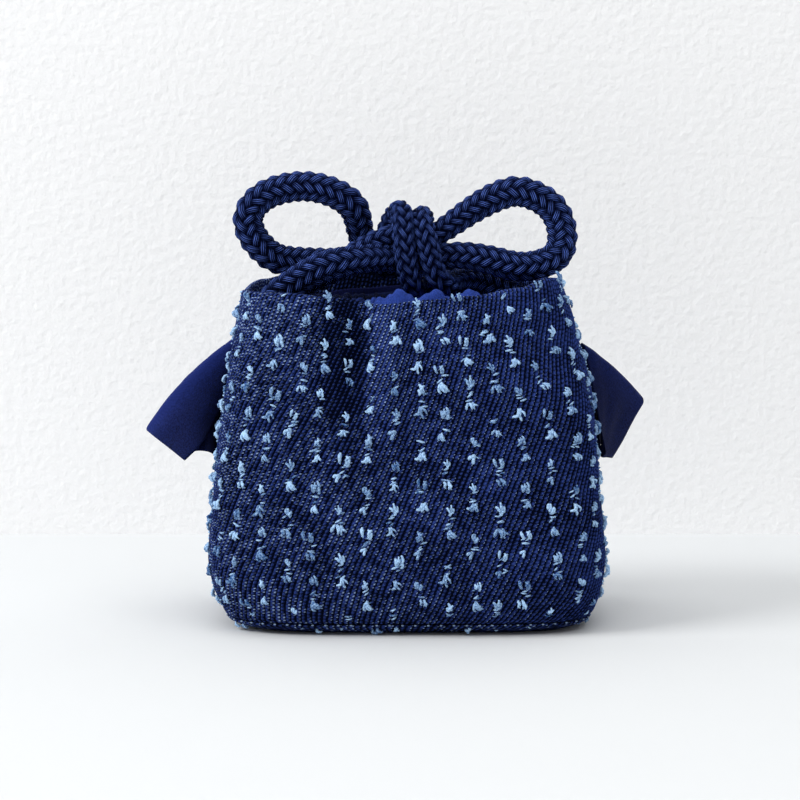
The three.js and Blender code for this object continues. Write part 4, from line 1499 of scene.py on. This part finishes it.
class POUCH_OT_tufts(bpy.types.Operator):
    """Stand the cut yarn ends in their rows on the denim"""

    bl_idname = "pouch.tufts"
    bl_label = "Cut yarn ends"

    def execute(self, context):
        sizes, colours = context.scene.pouch_sizes, context.scene.pouch_colours
        draw = np.random.default_rng(sizes.seed + 20)
        shapes = tuft_collection(sizes.seed + 40)
        tree = scatter_tree()
        inputs = {
            "Shapes": shapes,
            "Turn": TUFT_TURN,
            "Seed": sizes.seed,
            "Material": cut_cotton_yarn(colours),
        }
        for side in NEAR:
            places = tuft_places(side, sizes, draw)
            u = np.array([p[0] for p in places])
            v = np.array([p[1] for p in places])
            at = cloth_point(side, u, v, -0.05, sizes.seed)
            ways = ways_on(lambda u, v: cloth_point(side, u, v, 0, sizes.seed), u, v, 0.3, 0.3)
            kinds = [p[2] for p in places]
            given = {**inputs, **size_range("wall")}
            self.stand(f"{side}_yarn_ends", at, *ways, kinds, draw, tree, given)
        # a few are caught in the bottom panel, just under the seam
        angle = np.sort(draw.uniform(0, 2 * math.pi, 34))
        z = draw.uniform(1.2, 2.2, len(angle))
        at = plan_point(angle, z, 0)
        ways = ways_on(lambda angle, z: plan_point(angle, z, 0), angle, z, 0.01, 0.3)
        kinds = list(draw.choice(["bar", "bar", "lower"], len(angle)))
        given = {**inputs, **size_range("base")}
        self.stand("base_yarn_ends", at, *ways, kinds, draw, tree, given)
        for end in list(shapes.objects):
            bpy.data.objects.remove(end)
        bpy.data.collections.remove(shapes)
        return {"FINISHED"}

    def stand(self, name, at, level, upward, kinds, draw, tree, inputs):
        """One piece with a yarn end at each place."""
        outward = np.cross(level, upward)
        centre = np.array([3.0, 0.0])
        inwards = ((at[:, :2] - centre) * outward[:, :2]).sum(1) < 0
        outward[inwards] *= -1
        outward /= np.linalg.norm(outward, axis=1, keepdims=True)
        numbers = {
            kind: [k for k, other in enumerate(TUFT_KINDS) if other == kind]
            for kind in set(TUFT_KINDS)
        }
        choice = np.array([draw.choice(numbers[kind]) for kind in kinds])
        ends = mesh_piece(name, at, [], outward=outward, upward=upward, choice=choice)
        finish_piece(grown(ends, tree, inputs), "denim")


# ---------------------------------------------------------------- base seam


THREAD = 0.00022  # half a stitch's thickness


def stitch_tree():
    """Stitches laid end to end along a line: each is a short thread that dips in at both ends."""
    tree, given = geometry_tree(
        "seam stitches",
        [("Stitch", "Float", 0.0032), ("Thread", "Float", THREAD), ("Material", "Material", None)],
    )
    line = add(tree, "GeometryNodeMeshToCurve", {0: given["Geometry"]})
    spaced = add(tree, "GeometryNodeResampleCurve", {"Curve": line, "Length": given["Stitch"]}, mode="LENGTH")
    tangent = add(tree, "GeometryNodeInputTangent")
    points = add(
        tree,
        "GeometryNodeStoreNamedAttribute",
        {"Geometry": spaced, "Name": "heading", "Value": tangent},
        data_type="FLOAT_VECTOR",
        domain="POINT",
    )
    heading = add(tree, "GeometryNodeInputNamedAttribute", {"Name": "heading"}, data_type="FLOAT_VECTOR")
    facing = add(tree, "FunctionNodeAlignRotationToVector", {"Vector": heading}, axis="X")
    length = add(tree, "ShaderNodeMath", {0: given["Stitch"], 1: 0.11}, operation="MULTIPLY")
    stitch = add(tree, "GeometryNodeMeshIcoSphere", {"Radius": 1.0, "Subdivisions": 2})
    shape = add(tree, "ShaderNodeCombineXYZ", {0: length, 1: given["Thread"], 2: given["Thread"]})
    stitched = add(
        tree,
        "GeometryNodeInstanceOnPoints",
        {"Points": points, "Instance": stitch, "Rotation": facing, "Scale": shape},
    )
    close_tree(tree, stitched, given["Material"])
    return tree


class POUCH_OT_base_seam(bpy.types.Operator):
    """Stitch the bottom panel on"""

    bl_idname = "pouch.base_seam"
    bl_label = "Base seam"

    def execute(self, context):
        sizes, colours = context.scene.pouch_sizes, context.scene.pouch_colours
        angle = np.linspace(0, 2 * math.pi, 361)
        line = plan_point(angle, BASE_Z - 0.4, 0.15)
        seam = mesh_piece("base_stitches", line, [], edges=guide_line(line))
        grown(
            seam,
            stitch_tree(),
            {"Stitch": sizes.stitch, "Thread": THREAD, "Material": sewing_thread(colours)},
        )
        finish_piece(seam, "denim")
        return {"FINISHED"}


# ---------------------------------------------------------------- lining


class POUCH_OT_linings(bpy.types.Operator):
    """Hang the plain cotton lining inside the denim"""

    bl_idname = "pouch.linings"
    bl_label = "Linings"

    def execute(self, context):
        sizes, colours = context.scene.pouch_sizes, context.scene.pouch_colours
        cotton = plain_woven_cotton("plain woven lining cotton", colours.lining)
        thickness = sizes.cotton / MM
        inset = sizes.denim / MM + SEAM_GAP
        for side in NEAR:
            angle_list, length_list = GIRTH[side]
            u = np.linspace(0, HALF_GIRTH[side], 150)
            angle = np.interp(u, length_list, angle_list)
            share = np.linspace(0, 1, 26)[:, None]
            z = BASE_Z + share * (rim_at(side, angle) - HEM[side] - BASE_Z)
            grid_u = u + 0 * share
            cloth = np.stack([grid_u, z, 0 * grid_u], -1)
            crease = np.clip(wander(grid_u, z, 0.2, 12, sizes.seed + 3), -0.3, 0.5)
            middle = plan_point(angle, z, inset + thickness / 2 + np.abs(crease))
            grid, places = thick_section(middle, cloth, thickness)
            lining = swept_piece(f"{side}_lining", [grid], [places], cotton)
            finish_piece(lining, "cotton", f"lining_{side}")
        angle = np.linspace(0, 2 * math.pi, 121)[:-1]
        low = sizes.denim / MM + SEAM_GAP
        edge = plan_point(angle, 2.0, sizes.denim / MM + 4)
        centre = np.array([BODY_LEVELS[0, 3], 0, 0])
        rings, cloth = [], []
        for z, shares in ((low, (0.3, 0.65, 1)), (low + thickness, (1, 0.65, 0.3))):
            for share in shares:
                ring = centre + (edge - centre) * share
                ring[:, 2] = z
                rings.append(ring)
                cloth.append(ring.copy())
        floor = dish_piece("base_lining", rings, cloth, cotton)
        finish_piece(floor, "cotton", "lining_bottom")
        return {"FINISHED"}


# ---------------------------------------------------------------- collar


def oval_point(side, share, half_x, half_y, z):
    """Points of the oval that the cord's tunnel follows, from the left slit to the right one."""
    end = math.asin(SLIT_HALF_Y / TUNNEL["half_y"])
    angle = NEAR[side] * (math.pi - end + share * (2 * end - math.pi))
    x = TUNNEL["x"] + half_x * np.cos(angle)
    push = pleat_push(x) if side == "front" else 0
    return np.stack([x, half_y * np.sin(angle) + push, z + 0 * angle], -1)


def tunnel_point(side, share, radius, turn):
    """Points round the tunnel's section: a turn of 0 is its outer side, and a quarter turn its top."""
    across = radius * math.cos(turn)
    return oval_point(
        side,
        share,
        TUNNEL["half_x"] + across,
        TUNNEL["half_y"] + across,
        TUNNEL["z"] + radius * math.sin(turn),
    )


def collar_middle(side, sizes):
    """The collar's middle surface: from inside the rim, into a fold, over the tunnel and in to the mouth."""
    share = np.linspace(0, 1, 341)
    end = math.atan((SLIT_HALF_Y + 4.5) / 38)
    angle = NEAR[side] * (math.pi - end + share * (2 * end - math.pi))
    inset = (sizes.denim + sizes.cotton) / MM + 3.5 * SEAM_GAP
    rim = rim_at(side, angle)
    start = plan_point(angle, rim - HEM[side] - 1.6, inset + 0.2)
    radius = TUNNEL["bore"] + 0.5
    shoulder = tunnel_point(side, share, radius, 0.5)
    crown = tunnel_point(side, share, radius + 0.3, 1.05)
    if side == "front":
        # its gathers puff up over the rim, to the right of the pleat
        x = shoulder[:, 0]
        puff = smoothstep(x, -8, -4) * (1 - smoothstep(x, 22, 33))
        lumps = 0.78 + 0.22 * np.sin(2 * math.pi * (x + 3.6) / 9 - math.pi / 2)
        shoulder[:, 2] += 6.2 * puff * lumps
        crown[:, 2] += 3.4 * puff * lumps
    else:
        puff = 0 * share
    fold = start * 0.5 + shoulder * 0.5
    fold[:, 2] = np.minimum(start[:, 2], shoulder[:, 2]) - 0.6
    mouth_angle = NEAR[side] * math.pi * (1 - share)
    mouth = np.stack(
        [
            TUNNEL["x"] + MOUTH["half_x"] * np.cos(mouth_angle),
            0 * share + NEAR[side] * MOUTH["half_y"],
            0 * share + MOUTH["z"],
        ],
        -1,
    )
    inner = tunnel_point(side, share, radius, 2.7)
    middle = through(
        [
            start,
            fold,
            shoulder,
            crown,
            tunnel_point(side, share, radius + 0.4, 1.6),
            tunnel_point(side, share, radius + 0.2, 2.15),
            inner,
            inner * 0.5 + mouth * 0.5 + np.array([0, 0, 0.6]),
            mouth,
        ],
        6,
    )
    rows = np.linspace(0, 1, len(middle))[:, None]
    uneven = wander(share * 130, 0 * share, 1.0, 30, sizes.seed + 5)
    gather = np.sin(2 * math.pi * (26 * share + 0.35 * uneven + 0.25 * rows))
    gather = gather + 0.5 * np.sin(2 * math.pi * (41 * share + 0.3 * uneven) + 4 * rows)
    depth = 0.75 * smoothstep(rows, 0.02, 0.3) * (1 - 0.55 * smoothstep(rows, 0.7, 1))
    depth = depth * (1 - 0.7 * puff)
    middle = middle + np.array([0, 0, 1.0]) * (gather * depth)[..., None]
    length = 150.0 * share[None] + 0 * rows
    # painted shade: the collar is painted darker left of the pleat and all along the back, where the tie
    # shades it
    lit = smoothstep(middle[..., 0], -15, -3) if side == "front" else 0 * length
    painted_shading = 0.6 * (1 - lit)
    cloth = np.stack([length, 40 * rows + 0 * length, painted_shading], -1)
    return middle, cloth


class POUCH_OT_collars(bpy.types.Operator):
    """Gather the cotton collar round the mouth, over the cord's tunnel"""

    bl_idname = "pouch.collars"
    bl_label = "Collar"

    def execute(self, context):
        sizes, colours = context.scene.pouch_sizes, context.scene.pouch_colours
        cotton = plain_woven_cotton("plain woven collar cotton", colours.collar)
        thickness = sizes.cotton / MM
        share = np.linspace(0, 1, 120)
        for side in NEAR:
            middle, cloth = collar_middle(side, sizes)
            outer = thick_section(middle, cloth, thickness)
            turns = np.linspace(0.35, -math.pi - 0.35, 16)
            under = np.stack([tunnel_point(side, share, TUNNEL["bore"] + 0.4, t) for t in turns])
            rows = np.linspace(0, 1, len(under))[:, None]
            place = np.stack([150 * share + 0 * rows, 60 + 20 * rows + 0 * share, 0 * rows + 0 * share], -1)
            casing = thick_section(under, place, thickness)
            collar = swept_piece(f"{side}_collar", [outer[0], casing[0]], [outer[1], casing[1]], cotton)
            finish_piece(collar, "cotton", f"collar_{side}")
        return {"FINISHED"}


# ---------------------------------------------------------------- pull tabs


def tab_section(shape, seed):
    """A tab's closed section, folded over its top edge, and carried from the side seam to its tip."""
    width, layer, fold = TAB["width"], TAB["layer"], TAB["fold_radius"]
    root, middle, tip = (np.array(p, float) for p in shape["edge"])
    u = np.concatenate([np.linspace(0, 0.975, 60), [0.985, 0.992, 0.997, 1.0]])
    end_round = np.sqrt(np.clip(1 - ((u - 0.975) / 0.0255).clip(0, 1) ** 2, 0.02, 1))
    a, b, c = (1 - u) ** 2, 2 * u * (1 - u), u**2
    edge = a[:, None] * root + b[:, None] * middle + c[:, None] * tip
    hang = (1 - u)[:, None] * np.array(shape["hang_at_root"]) + u[:, None] * np.array(shape["hang_at_tip"])
    hang /= np.linalg.norm(hang, axis=1, keepdims=True)
    rows = np.concatenate(
        [np.linspace(0, 0.46, 22)[:-1], np.linspace(0.46, 0.54, 14)[:-1], np.linspace(0.54, 1, 22)]
    )
    turn = np.linspace(0, math.pi, 6)[1:-1]
    share = np.concatenate([rows, 0 * turn + 1, rows[::-1], 0 * turn])
    beyond = np.concatenate([0 * rows, np.sin(turn), 0 * rows, -np.sin(turn)]) * layer / 2
    depth = np.concatenate([0 * rows + 1, np.cos(turn), 0 * rows - 1, -np.cos(turn)])
    depth = depth[:, None] * end_round * layer / 2
    front, back = (
        width + shape[extra][0] * (1 - u) + shape[extra][1] * u
        for extra in ("front_extra", "back_extra")
    )
    across = shape["front"] * (front - share[:, None] * (front + back) - beyond[:, None])
    quarter = fold * math.pi / 2
    way = np.sign(across)
    below = np.maximum(0, np.abs(across) - quarter)
    outward = np.cross(np.gradient(edge, axis=0), hang)
    outward /= np.linalg.norm(outward, axis=-1, keepdims=True)
    bend = way * np.minimum(np.abs(across) / fold, math.pi / 2)
    spread = TAB["opening"] * u * below / width
    reach = fold + depth
    rumple = wander(u * 30, across, 0.12, 11, seed) * smoothstep(u, 0.02, 0.25)
    along_hang = fold + layer / 2 - reach * np.cos(bend) + below
    along_outward = -reach * np.sin(bend) - way * spread + rumple
    grid = (edge + hang * along_hang[..., None] + outward * along_outward[..., None])
    # painted highlight along a tab's fold, where its rounded top catches the light, and a little painted
    # shade elsewhere
    painted_shading = 0.1 - shape["painted_fold_highlight"] * np.exp(-((across / 4.8) ** 2))
    cloth = np.stack([30 * u + 0 * across, across, painted_shading], -1)
    return grid, cloth


class POUCH_OT_tabs(bpy.types.Operator):
    """Fold the two pull tabs and catch them in the side seams"""

    bl_idname = "pouch.tabs"
    bl_label = "Pull tabs"

    def execute(self, context):
        sizes, colours = context.scene.pouch_sizes, context.scene.pouch_colours
        cotton = plain_woven_cotton("plain woven tab cotton", colours.tabs)
        for k, (side, shape) in enumerate(TABS.items()):
            grid, cloth = tab_section(shape, sizes.seed + 60 + k)
            tab = swept_piece(f"{side}_pull_tab", [grid], [cloth], cotton)
            finish_piece(tab, "cotton", f"tab_{side}")
        return {"FINISHED"}


# ---------------------------------------------------------------- sidebar, registration and the build

STEPS = [
    POUCH_OT_stage,
    POUCH_OT_drawstring,
    POUCH_OT_walls,
    POUCH_OT_base,
    POUCH_OT_tufts,
    POUCH_OT_base_seam,
    POUCH_OT_linings,
    POUCH_OT_collars,
    POUCH_OT_tabs,
]


class POUCH_PT_sidebar(bpy.types.Panel):
    """The pouch's sizes, colours and pieces."""

    bl_idname = "POUCH_PT_sidebar"
    bl_label = "Kinchaku pouch"
    bl_space_type = "VIEW_3D"
    bl_region_type = "UI"
    bl_category = "Pouch"

    def draw(self, context):
        for group in (context.scene.pouch_sizes, context.scene.pouch_colours):
            box = self.layout.box()
            for name in group.__annotations__:
                box.prop(group, name)
        for step in STEPS:
            self.layout.operator(step.bl_idname)


CLASSES = [PouchSizes, PouchColours, *STEPS, POUCH_PT_sidebar]


def register():
    for kind in CLASSES:
        bpy.utils.register_class(kind)
    bpy.types.Scene.pouch_sizes = bpy.props.PointerProperty(type=PouchSizes)
    bpy.types.Scene.pouch_colours = bpy.props.PointerProperty(type=PouchColours)


def unregister():
    del bpy.types.Scene.pouch_colours
    del bpy.types.Scene.pouch_sizes
    for kind in reversed(CLASSES):
        bpy.utils.unregister_class(kind)


def main():
    """Builds every piece in order."""
    register()
    for step in STEPS:
        getattr(bpy.ops.pouch, step.bl_idname.split(".")[1])()


if __name__ == "__main__":
    main()
